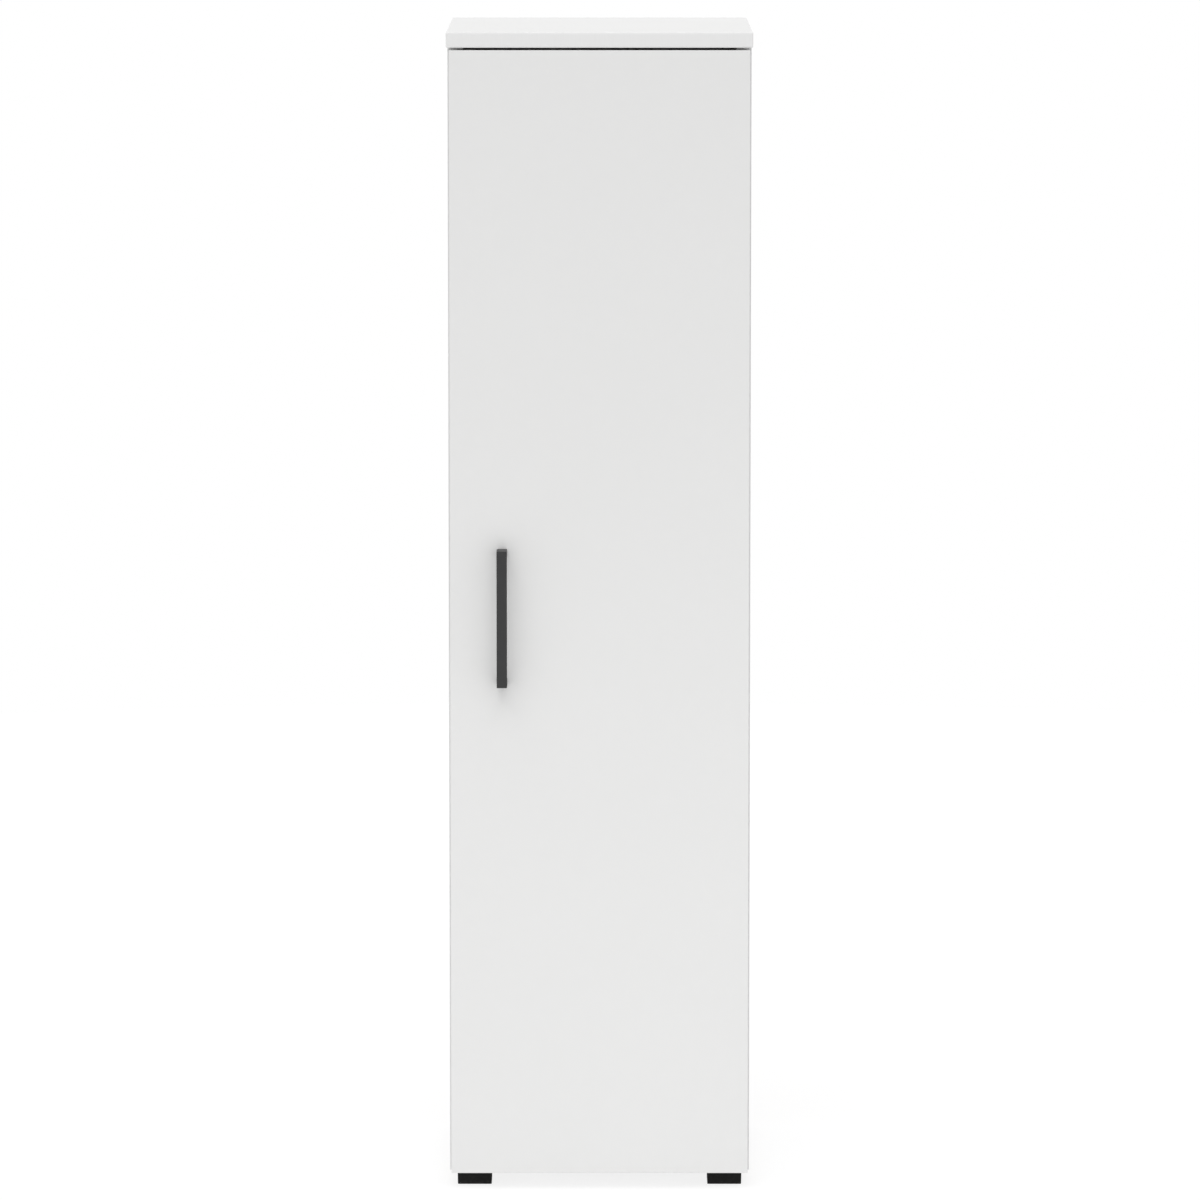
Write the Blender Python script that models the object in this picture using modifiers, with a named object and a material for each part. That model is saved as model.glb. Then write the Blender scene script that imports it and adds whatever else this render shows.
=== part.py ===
"""Tall narrow storage cabinet with one overlay door.

The case stands on four block feet and is held by cam connectors and dowels. Its door hangs on
three concealed hinges, each a four-bar linkage, and has a bow handle. Metres, +Z up, the door
faces -Y, and the origin is on the floor in the middle of the whole cabinet.
"""
import math

import bmesh
import bpy
from mathutils import Euler, Matrix, Vector

# Cabinet
WIDTH = 0.375                  # top board, left to right
DEPTH = 0.400                  # top board, front to back
HEIGHT = 1.435                 # floor to the upper face of the top board
BOARD = 0.019                  # thickness of every board
TOP_OVERHANG = 0.0015          # top board beyond each side
TOP_ROUNDING = 0.0015          # rounding on the edging of the top board
DOOR_ROUNDING = 0.0008         # rounding on the edging of the door
CLEARANCE = 0.0003             # between pieces that touch
OVERRUN = 0.002                # of a cutter past the face that it opens

# Back panel, slid into grooves
BACK_THICKNESS = 0.003
BACK_INSET = 0.010             # from the rear edges to the panel
GROOVE_DEPTH = 0.008

# Door
DOOR_REVEAL = 0.002            # of the case's side, beside the door
DOOR_TOP_GAP = 0.003           # between the door and the top board
DOOR_GAP = 0.002               # between the door's inner face and the case
BUMPER_RADIUS = 0.004
BUMPER_INSET = 0.025           # from the door's top or bottom edge

# Shelves and their supports
SHELF_SIDE_GAP = 0.001         # of a loose shelf to each side
FIXED_SHELF_SETBACK = 0.003    # behind the front edges of the sides
LOOSE_SHELF_SETBACK = 0.020
HOLE_ROW_INSET = 0.037         # of the rows of holes from the front edge and from the back panel
HOLE_PITCH = 0.032
HOLES_PER_SHELF = 5
SUPPORT_PIN_RADIUS = 0.0025
SUPPORT_PIN_LENGTH = 0.008
SUPPORT_REACH = 0.012          # of the lip, out from the side
SUPPORT_LIP = 0.002
SUPPORT_LEG = 0.014            # height of the leg
SUPPORT_LEG_THICKNESS = 0.002
SUPPORT_GUSSET = 0.004
SUPPORT_WIDTH = 0.008

# Cam connectors and dowels
CAM_RADIUS = 0.0072
CAM_REACH = 0.034              # from the cam's centre to the face of the neighbouring board
CAM_COVER = 0.0007             # of the cam past its bolt
CAM_SLOT_WIDTH = 0.0014
CAM_SLOT_DEPTH = 0.0016
BOLT_RADIUS = 0.0035
BOLT_THREAD_RADIUS = 0.0025
BOLT_THREAD_LENGTH = 0.011
CAM_INSET = 0.075              # from the front or rear edge of the side
DOWEL_RADIUS = 0.004
DOWEL_REACH = 0.010            # into the neighbouring board
DOWEL_FROM_CAM = 0.032

# Feet
FOOT_WIDTH = 0.043
FOOT_HEIGHT = 0.020
FOOT_DRAFT = 0.0004            # the foot narrows by this on each side, down to the floor
FOOT_INSET = 0.009             # from the outer faces of the case
FOOT_CORNER = 0.002
FOOT_SCREW_HEAD_RADIUS = 0.0042
FOOT_SCREW_HEAD_HEIGHT = 0.003
FOOT_SCREW_RADIUS = 0.002
FOOT_SCREW_SEAT = 0.012        # of the head's seat above the floor
FOOT_SCREW_GRIP = 0.012        # in the board above
FOOT_WELL_RADIUS = 0.006

# Handle
HANDLE_SPACING = 0.160         # between its two screws
HANDLE_BAR = 0.009             # thickness of its bar and its posts
HANDLE_WIDTH = 0.0127
HANDLE_PROJECTION = 0.029
HANDLE_FROM_EDGE = 0.064       # of the screws, from the door's left edge
HANDLE_INNER_RADIUS = 0.003
HANDLE_EDGE = 0.0007
HANDLE_SCREW_RADIUS = 0.002
HANDLE_SCREW_GRIP = 0.010      # in the post
HANDLE_SCREW_HEAD_RADIUS = 0.0042
HANDLE_SCREW_HEAD_HEIGHT = 0.0022

# Hinges, along the door
HINGE_END_INSET = 0.090        # of the end hinges from the door's ends
HINGE_ABOVE_SHELF = 0.065      # of the middle hinge, over the fixed shelf

# Hinge pivots, in the hinge's own frame: x into the case from HINGE_FRAME_INSET inside the door's
# hinge edge, y forward from the front edge of the side, z up
HINGE_FRAME_INSET = 0.017
ARM_REAR_PIVOT = (0.0118, -0.00845)
ARM_FRONT_PIVOT = (0.0052, 0.0060)
CUP_REAR_PIVOT = (-0.0085, 0.00475)
CUP_FRONT_PIVOT = (-0.0083, 0.0100)
PIN_RADIUS = 0.0012
EYE_WALL = 0.0009

# Hinge cup
CUP_EDGE_DISTANCE = 0.0215     # of the cup's centre from the door's hinge edge
CUP_BORE_RADIUS = 0.0175
CUP_BORE_DEPTH = 0.013
CUP_WALL = 0.0008
CUP_FLANGE = 0.001
CUP_RIM_WIDTH = 0.0012
CUP_EAR_OFFSET = 0.0055        # of the ears past the cup's centre
CUP_EAR_WIDTH = 0.0104
CUP_EAR_SPREAD = 0.048         # between the screws in the ears
CUP_SCREW_RADIUS = 0.0017
CUP_SCREW_LENGTH = 0.011
CUP_SCREW_HEAD_RADIUS = 0.0038
CUP_SCREW_HEAD_HEIGHT = 0.001

# Hinge links, in layers outward from the middle
TONGUE_HALF = 0.0012           # half thickness of the arm's tongue
FRONT_LINK_HALF = 0.0026
REAR_CHEEK = 0.0013            # thickness of a cheek of the rear link
ARM_CHEEK = 0.0014             # thickness of a cheek of the arm, and of its web
LINK_GAP = 0.0004              # between layers
TONGUE_PIN_RADIUS = 0.0009
SLOT_HALF_LENGTH = 0.00265     # open pivot, in the front link
SLOT_HALF_WIDTH = 0.0015
SLOT_ANGLE = math.radians(-38.9)
SLOT_WALL = 0.001
REAR_LINK_HALF_WIDTH = 0.0015
FRONT_LINK_HALF_WIDTH = 0.0012
FORK_RADIUS = 0.0043           # of the cut that leaves room for the tongue
REAR_LINK_BEND_SHARES = ((0.33, 0.215), (0.785, 0.231))
FRONT_LINK_BEND_SHARES = ((0.256, 0.281), (0.64, 0.284))

# Hinge arm and its plate
ARM_LENGTH = 0.062             # behind the front edge of the side
ARM_FRONT_REACH = 0.003        # of its nose behind that edge
ARM_UNDERSIDE = 0.0033
ARM_REAR_TOP = 0.011
ARM_FRONT_TOP = 0.0166
ARM_STEP_START = 0.026
ARM_STEP_END = 0.016
ARM_NOSE = 0.0032              # round the rear pivot
TONGUE_WIDTH = 0.004
TONGUE_ROOT = (0.0153, -0.0052)
TONGUE_ELBOW = (0.0130, -0.0004)
RIVET_HEAD = 0.0004
PLATE_TOP = 0.003
PLATE_HEIGHT = 0.052
PLATE_WIDTH = 0.020
PLATE_CORNER = 0.003
PLATE_BLOCK_LENGTH = 0.022
PLATE_SCREW_SPACING = 0.032
PLATE_SCREW_RADIUS = 0.0025
PLATE_SCREW_LENGTH = 0.011
PLATE_SCREW_HEAD_RADIUS = 0.0035
PLATE_SCREW_HEAD_HEIGHT = 0.0016
ARM_SCREW_RADIUS = 0.0022
ARM_SCREW_GRIP = 0.005
ARM_SCREW_HEAD_RADIUS = 0.0038
ARM_SCREW_HEAD_HEIGHT = 0.0022

# Facets
BORE_SIDES = 8
ROD_SIDES = 8
PIN_SIDES = 8
EYE_SIDES = 12
HEAD_SIDES = 10
CAM_SIDES = 10
CUP_SIDES = 24
ARC_STEPS = 4
SMOOTH_ANGLE = math.radians(35)

# Places that follow from the sizes above
door_front_y = (HANDLE_PROJECTION - DEPTH) / 2
door_back_y = door_front_y + BOARD
case_front_y = door_back_y + DOOR_GAP
case_rear_y = door_front_y + DEPTH
case_half_width = WIDTH / 2 - TOP_OVERHANG
inner_half_width = case_half_width - BOARD
case_bottom_z = FOOT_HEIGHT
inner_bottom_z = case_bottom_z + BOARD
case_top_z = HEIGHT - BOARD
back_front_y = case_rear_y - BACK_INSET - BACK_THICKNESS
door_half_width = case_half_width - DOOR_REVEAL
door_bottom_z = case_bottom_z
door_top_z = case_top_z - DOOR_TOP_GAP
door_middle_z = (door_bottom_z + door_top_z) / 2
bay_height = (case_top_z - inner_bottom_z - 3 * BOARD) / 4
lower_shelf_z = inner_bottom_z + bay_height
fixed_shelf_z = lower_shelf_z + BOARD + bay_height
upper_shelf_z = fixed_shelf_z + BOARD + bay_height
front_row_y = case_front_y + HOLE_ROW_INSET
rear_row_y = back_front_y - HOLE_ROW_INSET
hinge_x = door_half_width - HINGE_FRAME_INSET
hinge_heights = {
    "lower": door_bottom_z + HINGE_END_INSET,
    "middle": fixed_shelf_z + BOARD + HINGE_ABOVE_SHELF,
    "upper": door_top_z - HINGE_END_INSET,
}
cam_rows_y = (case_front_y + CAM_INSET, case_rear_y - CAM_INSET)
dowel_rows_y = (cam_rows_y[0] + DOWEL_FROM_CAM, cam_rows_y[1] - DOWEL_FROM_CAM)
handle_x = HANDLE_FROM_EDGE - door_half_width
handle_screws_z = (door_middle_z - HANDLE_SPACING / 2, door_middle_z + HANDLE_SPACING / 2)
foot_x = case_half_width - FOOT_INSET - FOOT_WIDTH / 2
feet_y = (case_front_y + FOOT_INSET + FOOT_WIDTH / 2, case_rear_y - FOOT_INSET - FOOT_WIDTH / 2)

X_AXIS = Vector((1, 0, 0))
Y_AXIS = Vector((0, 1, 0))
Z_AXIS = Vector((0, 0, 1))

for leftover in list(bpy.data.objects):
    bpy.data.objects.remove(leftover, do_unlink=True)
cabinet = bpy.data.collections.new("storage_cabinet")
bpy.context.scene.collection.children.link(cabinet)


# Materials

def paint(name, colour, roughness, metallic):
    """A Principled material of one linear colour."""
    material = bpy.data.materials.new(name)
    material.use_nodes = True
    shader = material.node_tree.nodes["Principled BSDF"]
    shader.inputs["Base Color"].default_value = (*colour, 1)
    shader.inputs["Roughness"].default_value = roughness
    shader.inputs["Metallic"].default_value = metallic
    material.diffuse_color = (*colour, 1)
    return material


white_board = paint("white_melamine_board", (0.80, 0.80, 0.79), 0.45, 0)
brown_board = paint("brown_hardboard", (0.33, 0.21, 0.12), 0.8, 0)
black_metal = paint("black_painted_metal", (0.045, 0.045, 0.047), 0.5, 0)
black_plastic = paint("black_plastic", (0.012, 0.012, 0.012), 0.6, 0)
plated_steel = paint("plated_steel", (0.62, 0.61, 0.60), 0.3, 1)
cast_zinc = paint("cast_zinc", (0.45, 0.45, 0.44), 0.45, 1)
clear_rubber = paint("clear_rubber", (0.60, 0.60, 0.58), 0.35, 0)


# Making and joining shapes

def mesh_of(shape):
    """Turn a bmesh into a mesh with outward faces."""
    bmesh.ops.recalc_face_normals(shape, faces=shape.faces)
    mesh = bpy.data.meshes.new("shape")
    shape.to_mesh(mesh)
    shape.free()
    return mesh


def box(low, high):
    """A box between two opposite corners."""
    low, high = Vector(low), Vector(high)
    shape = bmesh.new()
    bmesh.ops.create_cube(shape, size=1)
    bmesh.ops.scale(shape, vec=high - low, verts=shape.verts)
    bmesh.ops.translate(shape, vec=(low + high) / 2, verts=shape.verts)
    return mesh_of(shape)


def rod(start, end, radius, sides=ROD_SIDES):
    """A round rod between two points."""
    start, end = Vector(start), Vector(end)
    turn = Z_AXIS.rotation_difference(end - start).to_matrix()
    shape = bmesh.new()
    bmesh.ops.create_cone(shape, cap_ends=True, segments=sides, radius1=radius, radius2=radius,
                          depth=(end - start).length)
    bmesh.ops.rotate(shape, matrix=turn, verts=shape.verts)
    bmesh.ops.translate(shape, vec=(start + end) / 2, verts=shape.verts)
    return mesh_of(shape)


def evaluated(source):
    """The mesh that an object's modifiers give, as seen in the viewport."""
    graph = bpy.context.evaluated_depsgraph_get()
    return bpy.data.meshes.new_from_object(source.evaluated_get(graph))


def workpiece(data):
    """An object that holds a shape while it is worked on."""
    piece = bpy.data.objects.new("workpiece", data)
    bpy.context.scene.collection.objects.link(piece)
    return piece


def outline_prism(outline, low, high):
    """A flat outline in x and y, as thick as from low to high along z."""
    curve = bpy.data.curves.new("outline", "CURVE")
    curve.dimensions = "2D"
    curve.fill_mode = "BOTH"
    curve.extrude = (high - low) / 2
    spline = curve.splines.new("POLY")
    spline.points.add(len(outline) - 1)
    for point, (x, y) in zip(spline.points, outline):
        point.co = (x, y, 0, 1)
    spline.use_cyclic_u = True
    piece = workpiece(curve)
    mesh = evaluated(piece)
    bpy.data.objects.remove(piece)
    shape = bmesh.new()
    shape.from_mesh(mesh)
    bmesh.ops.remove_doubles(shape, verts=shape.verts, dist=CLEARANCE / 100)
    bmesh.ops.translate(shape, vec=Z_AXIS * (low + high) / 2, verts=shape.verts)
    return mesh_of(shape)


def turned(profile, sides):
    """A profile of radii and heights, turned about z with the Screw modifier."""
    shape = bmesh.new()
    corners = [shape.verts.new((radius, 0, height)) for radius, height in profile]
    for first, second in zip(corners, corners[1:]):
        shape.edges.new((first, second))
    mesh = bpy.data.meshes.new("profile")
    shape.to_mesh(mesh)
    shape.free()
    piece = workpiece(mesh)
    screw = piece.modifiers.new("turn", "SCREW")
    screw.steps = sides
    screw.render_steps = sides
    screw.use_merge_vertices = True
    screw.merge_threshold = CLEARANCE / 100
    result = evaluated(piece)
    bpy.data.objects.remove(piece)
    shape = bmesh.new()
    shape.from_mesh(result)
    return mesh_of(shape)


def rounded(mesh, width, segments=1):
    """Round every sharp edge of a shape."""
    piece = workpiece(mesh)
    bevel = piece.modifiers.new("round", "BEVEL")
    bevel.width = width
    bevel.segments = segments
    bevel.limit_method = "ANGLE"
    result = evaluated(piece)
    bpy.data.objects.remove(piece)
    return result


def combined(base, joined=(), cut=(), within=()):
    """A shape with others joined to it, others then cut from it, and kept inside the last."""
    piece = workpiece(base)
    tools = []
    for operation, meshes in (("UNION", joined), ("DIFFERENCE", cut), ("INTERSECT", within)):
        for mesh in meshes:
            tool = workpiece(mesh)
            tools.append(tool)
            boolean = piece.modifiers.new("boolean", "BOOLEAN")
            boolean.operation = operation
            boolean.object = tool
            boolean.solver = "EXACT"
    result = evaluated(piece)
    for item in (piece, *tools):
        bpy.data.objects.remove(item)
    return result


def gathered(meshes):
    """Shapes that stand clear of each other, as one mesh, so that one cut makes all their bores."""
    shape = bmesh.new()
    for mesh in meshes:
        shape.from_mesh(mesh)
    return mesh_of(shape)


def moved(mesh, matrix):
    """A copy of a shape, moved and turned."""
    copy = mesh.copy()
    copy.transform(matrix)
    return copy


def frame_at(location, rotation=(0, 0, 0)):
    """The matrix of a place and a turn."""
    return Matrix.Translation(location) @ Euler(rotation).to_matrix().to_4x4()


def place(name, mesh, material, location=(0, 0, 0), rotation=(0, 0, 0), parent=None):
    """Make a named sub-part from a shape that is already in its own frame."""
    mesh.name = name
    mesh.shade_smooth()
    mesh.set_sharp_from_angle(angle=SMOOTH_ANGLE)
    mesh.materials.clear()
    mesh.materials.append(material)
    item = bpy.data.objects.new(name, mesh)
    cabinet.objects.link(item)
    item.location = location
    item.rotation_euler = rotation
    if parent is not None:
        item.parent = parent
        item.location = Vector(location) - parent.location
    return item


def place_from_cabinet(name, mesh, material, origin, parent=None):
    """Make a named sub-part from a shape in the cabinet's frame, and give it an origin."""
    return place(name, moved(mesh, Matrix.Translation(-Vector(origin))), material, origin,
                 parent=parent)


# Outlines

def arc(centre, radius, start, end, steps=ARC_STEPS):
    """Points along an arc, both ends included."""
    turns = [start + (end - start) * step / steps for step in range(steps + 1)]
    return [(centre[0] + radius * math.cos(turn), centre[1] + radius * math.sin(turn))
            for turn in turns]


def bar_outline(spine, half_width):
    """The outline of a bent bar of even width with round ends."""
    points = [Vector(point) for point in spine]
    runs = [(second - first).normalized() for first, second in zip(points, points[1:])]
    normals = [Vector((-run.y, run.x)) for run in runs]
    left, right = [], []
    for point, before, after in zip(points[1:-1], normals, normals[1:]):
        middle = (before + after).normalized()
        offset = middle * half_width / middle.dot(before)
        left.append(tuple(point + offset))
        right.append(tuple(point - offset))
    last = math.atan2(normals[-1].y, normals[-1].x)
    first = math.atan2(normals[0].y, normals[0].x)
    return (left + arc(points[-1], half_width, last, last - math.pi)
            + right[::-1] + arc(points[0], half_width, first - math.pi, first - 2 * math.pi))


def bent_spine(start, end, shares):
    """A spine from start to end that bends to the right at shares of their distance."""
    start, end = Vector(start), Vector(end)
    along = end - start
    out = Vector((along.y, -along.x))
    return [start, *(start + along * ahead + out * aside for ahead, aside in shares), end]


# Cam connectors: a cam in one board grips a bolt that is screwed into its neighbour

cam_height = BOARD / 2 + BOLT_RADIUS + CAM_COVER


def connector(grow, cam_face):
    """Cam and bolt about the bolt's axis, +X towards the neighbour, grown for its bores.

    The bore of the bolt ends in the play between the two boards.
    """
    board_end = CAM_REACH - CLEARANCE
    cam = rod((0, 0, cam_face), (0, 0, cam_height - BOARD / 2 + grow), CAM_RADIUS + grow, CAM_SIDES)
    bolt = rod((0, 0, 0), (board_end + grow / 2, 0, 0), BOLT_RADIUS + grow)
    thread = rod((0, 0, 0), (CAM_REACH + BOLT_THREAD_LENGTH + grow, 0, 0),
                 BOLT_THREAD_RADIUS + grow, BORE_SIDES)
    return combined(cam, joined=[bolt, thread])


def connector_mesh():
    """A connector, flush with its board and with a slot for the driver."""
    slot_half = (CAM_RADIUS + OVERRUN, CAM_SLOT_WIDTH / 2)
    face = CLEARANCE - BOARD / 2
    slot = box((-slot_half[0], -slot_half[1], face - OVERRUN),
               (slot_half[0], slot_half[1], face + CAM_SLOT_DEPTH))
    return combined(connector(0, face), cut=[slot])


def connector_places():
    """Each connector's name, place and turn, with the board that its cam is in."""
    places = []
    for side_name, side in (("left", -1), ("right", 1)):
        flat_turn = 0 if side > 0 else math.pi
        for row_name, row_y in zip(("front", "rear"), cam_rows_y):
            for board_name, board_z in (("bottom", case_bottom_z), ("shelf", fixed_shelf_z)):
                location = (side * (inner_half_width - CAM_REACH), row_y, board_z + BOARD / 2)
                places.append((f"cam_connector_{board_name}_{side_name}_{row_name}", location,
                               (0, 0, flat_turn), board_name, side_name))
            location = (side * (case_half_width - BOARD / 2), row_y, case_top_z - CAM_REACH)
            places.append((f"cam_connector_top_{side_name}_{row_name}", location,
                           (0, -math.pi / 2, math.pi - flat_turn), "side", side_name))
    return places


def make_connectors():
    """Set the twelve connectors in their bores."""
    shared = connector_mesh()
    for name, location, rotation, _, _ in connector_places():
        place(name, shared, cast_zinc, location, rotation)


def connector_cutters(wanted):
    """The bores of the connectors that a board meets."""
    bore = connector(CLEARANCE, -BOARD / 2 - OVERRUN)
    return [moved(bore, frame_at(location, rotation))
            for _, location, rotation, board_name, side_name in connector_places()
            if wanted(board_name, side_name)]


# Boards

def dowels(board_z, side, grow):
    """Dowels out of the end of a level board, into the side."""
    end_x = side * (inner_half_width - CLEARANCE)
    reach_x = end_x + side * (DOWEL_REACH + grow)
    return [rod((end_x - side * DOWEL_RADIUS, row_y, board_z + BOARD / 2),
                (reach_x, row_y, board_z + BOARD / 2), DOWEL_RADIUS + grow, BORE_SIDES)
            for row_y in dowel_rows_y]


def top_dowels(side, grow):
    """Dowels out of the upper end of a side, into the top board."""
    end_z = case_top_z - CLEARANCE
    x = side * (case_half_width - BOARD / 2)
    return [rod((x, row_y, end_z - DOWEL_RADIUS), (x, row_y, end_z + DOWEL_REACH + grow),
                DOWEL_RADIUS + grow, BORE_SIDES) for row_y in dowel_rows_y]


def back_slot():
    """The space of the back panel and its play, as cut from the boards round it."""
    half_width = inner_half_width + GROOVE_DEPTH
    return box((-half_width, back_front_y - CLEARANCE, inner_bottom_z - GROOVE_DEPTH),
               (half_width, back_front_y + BACK_THICKNESS + CLEARANCE, case_top_z + GROOVE_DEPTH))


def shelf_pin_bores(side):
    """Rows of holes for the shelf supports, round the height of each loose shelf."""
    bores = []
    start_x = side * (inner_half_width - OVERRUN)
    end_x = side * (inner_half_width + SUPPORT_PIN_LENGTH + CLEARANCE)
    for shelf_z in (lower_shelf_z, upper_shelf_z):
        for step in range(HOLES_PER_SHELF):
            z = pin_height(shelf_z) + (step - HOLES_PER_SHELF // 2) * HOLE_PITCH
            for row_y in (front_row_y, rear_row_y):
                bores.append(rod((start_x, row_y, z), (end_x, row_y, z),
                                 SUPPORT_PIN_RADIUS + CLEARANCE, BORE_SIDES))
    return bores


def plate_screw_bores():
    """Holes for the screws of the hinge plates, in the right side."""
    bores = []
    for height in hinge_heights.values():
        for z in (height - PLATE_SCREW_SPACING / 2, height + PLATE_SCREW_SPACING / 2):
            bores.append(rod((inner_half_width - OVERRUN, front_row_y, z),
                             (inner_half_width + PLATE_SCREW_LENGTH + CLEARANCE, front_row_y, z),
                             PLATE_SCREW_RADIUS + CLEARANCE, BORE_SIDES))
    return bores


def make_side(side_name, side):
    """One side, drilled for everything that it carries."""
    low_x, high_x = sorted((side * inner_half_width, side * case_half_width))
    board = box((low_x, case_front_y, case_bottom_z),
                (high_x, case_rear_y, case_top_z - CLEARANCE))
    cutters = [back_slot(), *shelf_pin_bores(side)]
    for board_z in (case_bottom_z, fixed_shelf_z):
        cutters += dowels(board_z, side, CLEARANCE)
    cutters += connector_cutters(lambda board_name, name: name == side_name)
    if side > 0:
        cutters += plate_screw_bores()
    mesh = combined(board, joined=top_dowels(side, 0), cut=[gathered(cutters)])
    origin = (side * (case_half_width - BOARD / 2), 0, case_bottom_z)
    place_from_cabinet(f"side_panel_{side_name}", mesh, white_board, origin)


def make_top():
    """The top board, which overhangs the case and covers the door's upper edge."""
    board = rounded(box((-WIDTH / 2, door_front_y, case_top_z), (WIDTH / 2, case_rear_y, HEIGHT)),
                    TOP_ROUNDING)
    cutters = [back_slot()]
    for side in (-1, 1):
        cutters += top_dowels(side, CLEARANCE)
    cutters += connector_cutters(lambda board_name, name: board_name == "side")
    mesh = combined(board, cut=[gathered(cutters)])
    place_from_cabinet("top_panel", mesh, white_board, (0, 0, case_top_z))


def make_level_board(name, board_name, board_z, setback, extra_cutters=()):
    """A board held between the sides by connectors and dowels."""
    half_width = inner_half_width - CLEARANCE
    rear_y = case_rear_y if board_name == "bottom" else back_front_y - CLEARANCE
    board = box((-half_width, case_front_y + setback, board_z), (half_width, rear_y, board_z + BOARD))
    joined = dowels(board_z, -1, 0) + dowels(board_z, 1, 0)
    cutters = connector_cutters(lambda carrier, side_name: carrier == board_name)
    mesh = combined(board, joined=joined, cut=[gathered([*cutters, *extra_cutters])])
    place_from_cabinet(name, mesh, white_board, (0, 0, board_z))


def make_loose_shelf(name, shelf_z):
    """A shelf that rests on four supports."""
    half_width = inner_half_width - SHELF_SIDE_GAP
    board = box((-half_width, case_front_y + LOOSE_SHELF_SETBACK, shelf_z),
                (half_width, back_front_y - CLEARANCE, shelf_z + BOARD))
    place_from_cabinet(name, board, white_board, (0, 0, shelf_z))


def make_back():
    """The thin back panel, in the grooves."""
    half_width = inner_half_width + GROOVE_DEPTH - CLEARANCE
    low_z = inner_bottom_z - GROOVE_DEPTH + CLEARANCE
    panel = box((-half_width, back_front_y, low_z),
                (half_width, back_front_y + BACK_THICKNESS, case_top_z + GROOVE_DEPTH - CLEARANCE))
    place_from_cabinet("back_panel", panel, brown_board, (0, back_front_y, low_z))


# Shelf supports

def pin_height(shelf_z):
    """The height of a support's pin under its shelf."""
    return shelf_z - CLEARANCE - SUPPORT_LEG / 2


def support_mesh():
    """An angle with a gusset, and a pin at the middle of its leg, +X away from the side."""
    top = SUPPORT_LEG / 2
    outline = [(CLEARANCE, top), (SUPPORT_REACH, top), (SUPPORT_REACH, top - SUPPORT_LIP),
               (SUPPORT_LEG_THICKNESS + SUPPORT_GUSSET, top - SUPPORT_LIP),
               (SUPPORT_LEG_THICKNESS, top - SUPPORT_LIP - SUPPORT_GUSSET),
               (SUPPORT_LEG_THICKNESS, -top), (CLEARANCE, -top)]
    angle = moved(outline_prism(outline, -SUPPORT_WIDTH / 2, SUPPORT_WIDTH / 2),
                  Matrix.Rotation(math.pi / 2, 4, "X"))
    pin = rod((-SUPPORT_PIN_LENGTH, 0, 0), (SUPPORT_LEG_THICKNESS / 2, 0, 0),
              SUPPORT_PIN_RADIUS, BORE_SIDES)
    return combined(angle, joined=[pin])


def make_supports():
    """Four supports under each loose shelf."""
    shared = support_mesh()
    for shelf_name, shelf_z in (("lower", lower_shelf_z), ("upper", upper_shelf_z)):
        for side_name, side in (("left", -1), ("right", 1)):
            for row_name, row_y in (("front", front_row_y), ("rear", rear_row_y)):
                place(f"shelf_support_{shelf_name}_{side_name}_{row_name}", shared, plated_steel,
                      (side * inner_half_width, row_y, pin_height(shelf_z)),
                      (0, 0, math.pi if side > 0 else 0))


# Feet

def foot_mesh():
    """A block with a slight draft, and a well from below for its screw."""
    top = FOOT_HEIGHT - CLEARANCE
    to_corner = math.sqrt(0.5)
    shape = bmesh.new()
    bmesh.ops.create_cone(shape, cap_ends=True, segments=4, depth=top,
                          radius1=(FOOT_WIDTH - 2 * FOOT_DRAFT) * to_corner,
                          radius2=FOOT_WIDTH * to_corner)
    bmesh.ops.rotate(shape, matrix=Matrix.Rotation(math.pi / 4, 3, "Z"), verts=shape.verts)
    bmesh.ops.translate(shape, vec=Z_AXIS * top / 2, verts=shape.verts)
    uprights = [edge for edge in shape.edges
                if abs(edge.verts[0].co.z - edge.verts[1].co.z) > top / 2]
    bmesh.ops.bevel(shape, geom=uprights, offset=FOOT_CORNER, segments=2, profile=0.5,
                    affect="EDGES")
    well = rod((0, 0, -OVERRUN), (0, 0, FOOT_SCREW_SEAT), FOOT_WELL_RADIUS, HEAD_SIDES)
    bore = rod((0, 0, 0), (0, 0, top + OVERRUN), FOOT_SCREW_RADIUS + CLEARANCE, BORE_SIDES)
    return combined(mesh_of(shape), cut=[well, bore])


def screw_mesh(radius, length, head_radius, head_height, sides=HEAD_SIDES):
    """A pan head below z = 0 and a plain shank above it."""
    edge = head_height / 3
    profile = [(0, length), (radius, length), (radius, 0), (head_radius, 0),
               (head_radius, -edge), (head_radius - edge, -head_height), (0, -head_height)]
    return turned(profile, sides)


def feet_places():
    """Each foot's name and place."""
    return [(f"{row_name}_{side_name}", (side * foot_x, row_y))
            for side_name, side in (("left", -1), ("right", 1))
            for row_name, row_y in zip(("front", "rear"), feet_y)]


def make_feet():
    """Four feet, each screwed up into the bottom board."""
    foot = foot_mesh()
    length = FOOT_HEIGHT - FOOT_SCREW_SEAT + FOOT_SCREW_GRIP
    screw = screw_mesh(FOOT_SCREW_RADIUS, length, FOOT_SCREW_HEAD_RADIUS, FOOT_SCREW_HEAD_HEIGHT)
    for name, (x, y) in feet_places():
        place(f"foot_{name}", foot, black_plastic, (x, y, 0))
        place(f"foot_screw_{name}", screw, plated_steel, (x, y, FOOT_SCREW_SEAT - CLEARANCE))


def foot_screw_bores():
    """Pilot holes in the bottom board."""
    top = case_bottom_z + FOOT_SCREW_GRIP
    return [rod((x, y, case_bottom_z - OVERRUN), (x, y, top), FOOT_SCREW_RADIUS + CLEARANCE,
                BORE_SIDES) for _, (x, y) in feet_places()]


# Door and handle

def cup_centre():
    """The place of a hinge cup's centre on the door, in the hinge's frame."""
    return Vector((CUP_EDGE_DISTANCE - HINGE_FRAME_INSET, DOOR_GAP, 0))


def hinge_frame(height):
    """The frame of a hinge: x into the case, y forward, z up."""
    return frame_at((hinge_x, case_front_y, height), (0, 0, math.pi))


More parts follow.
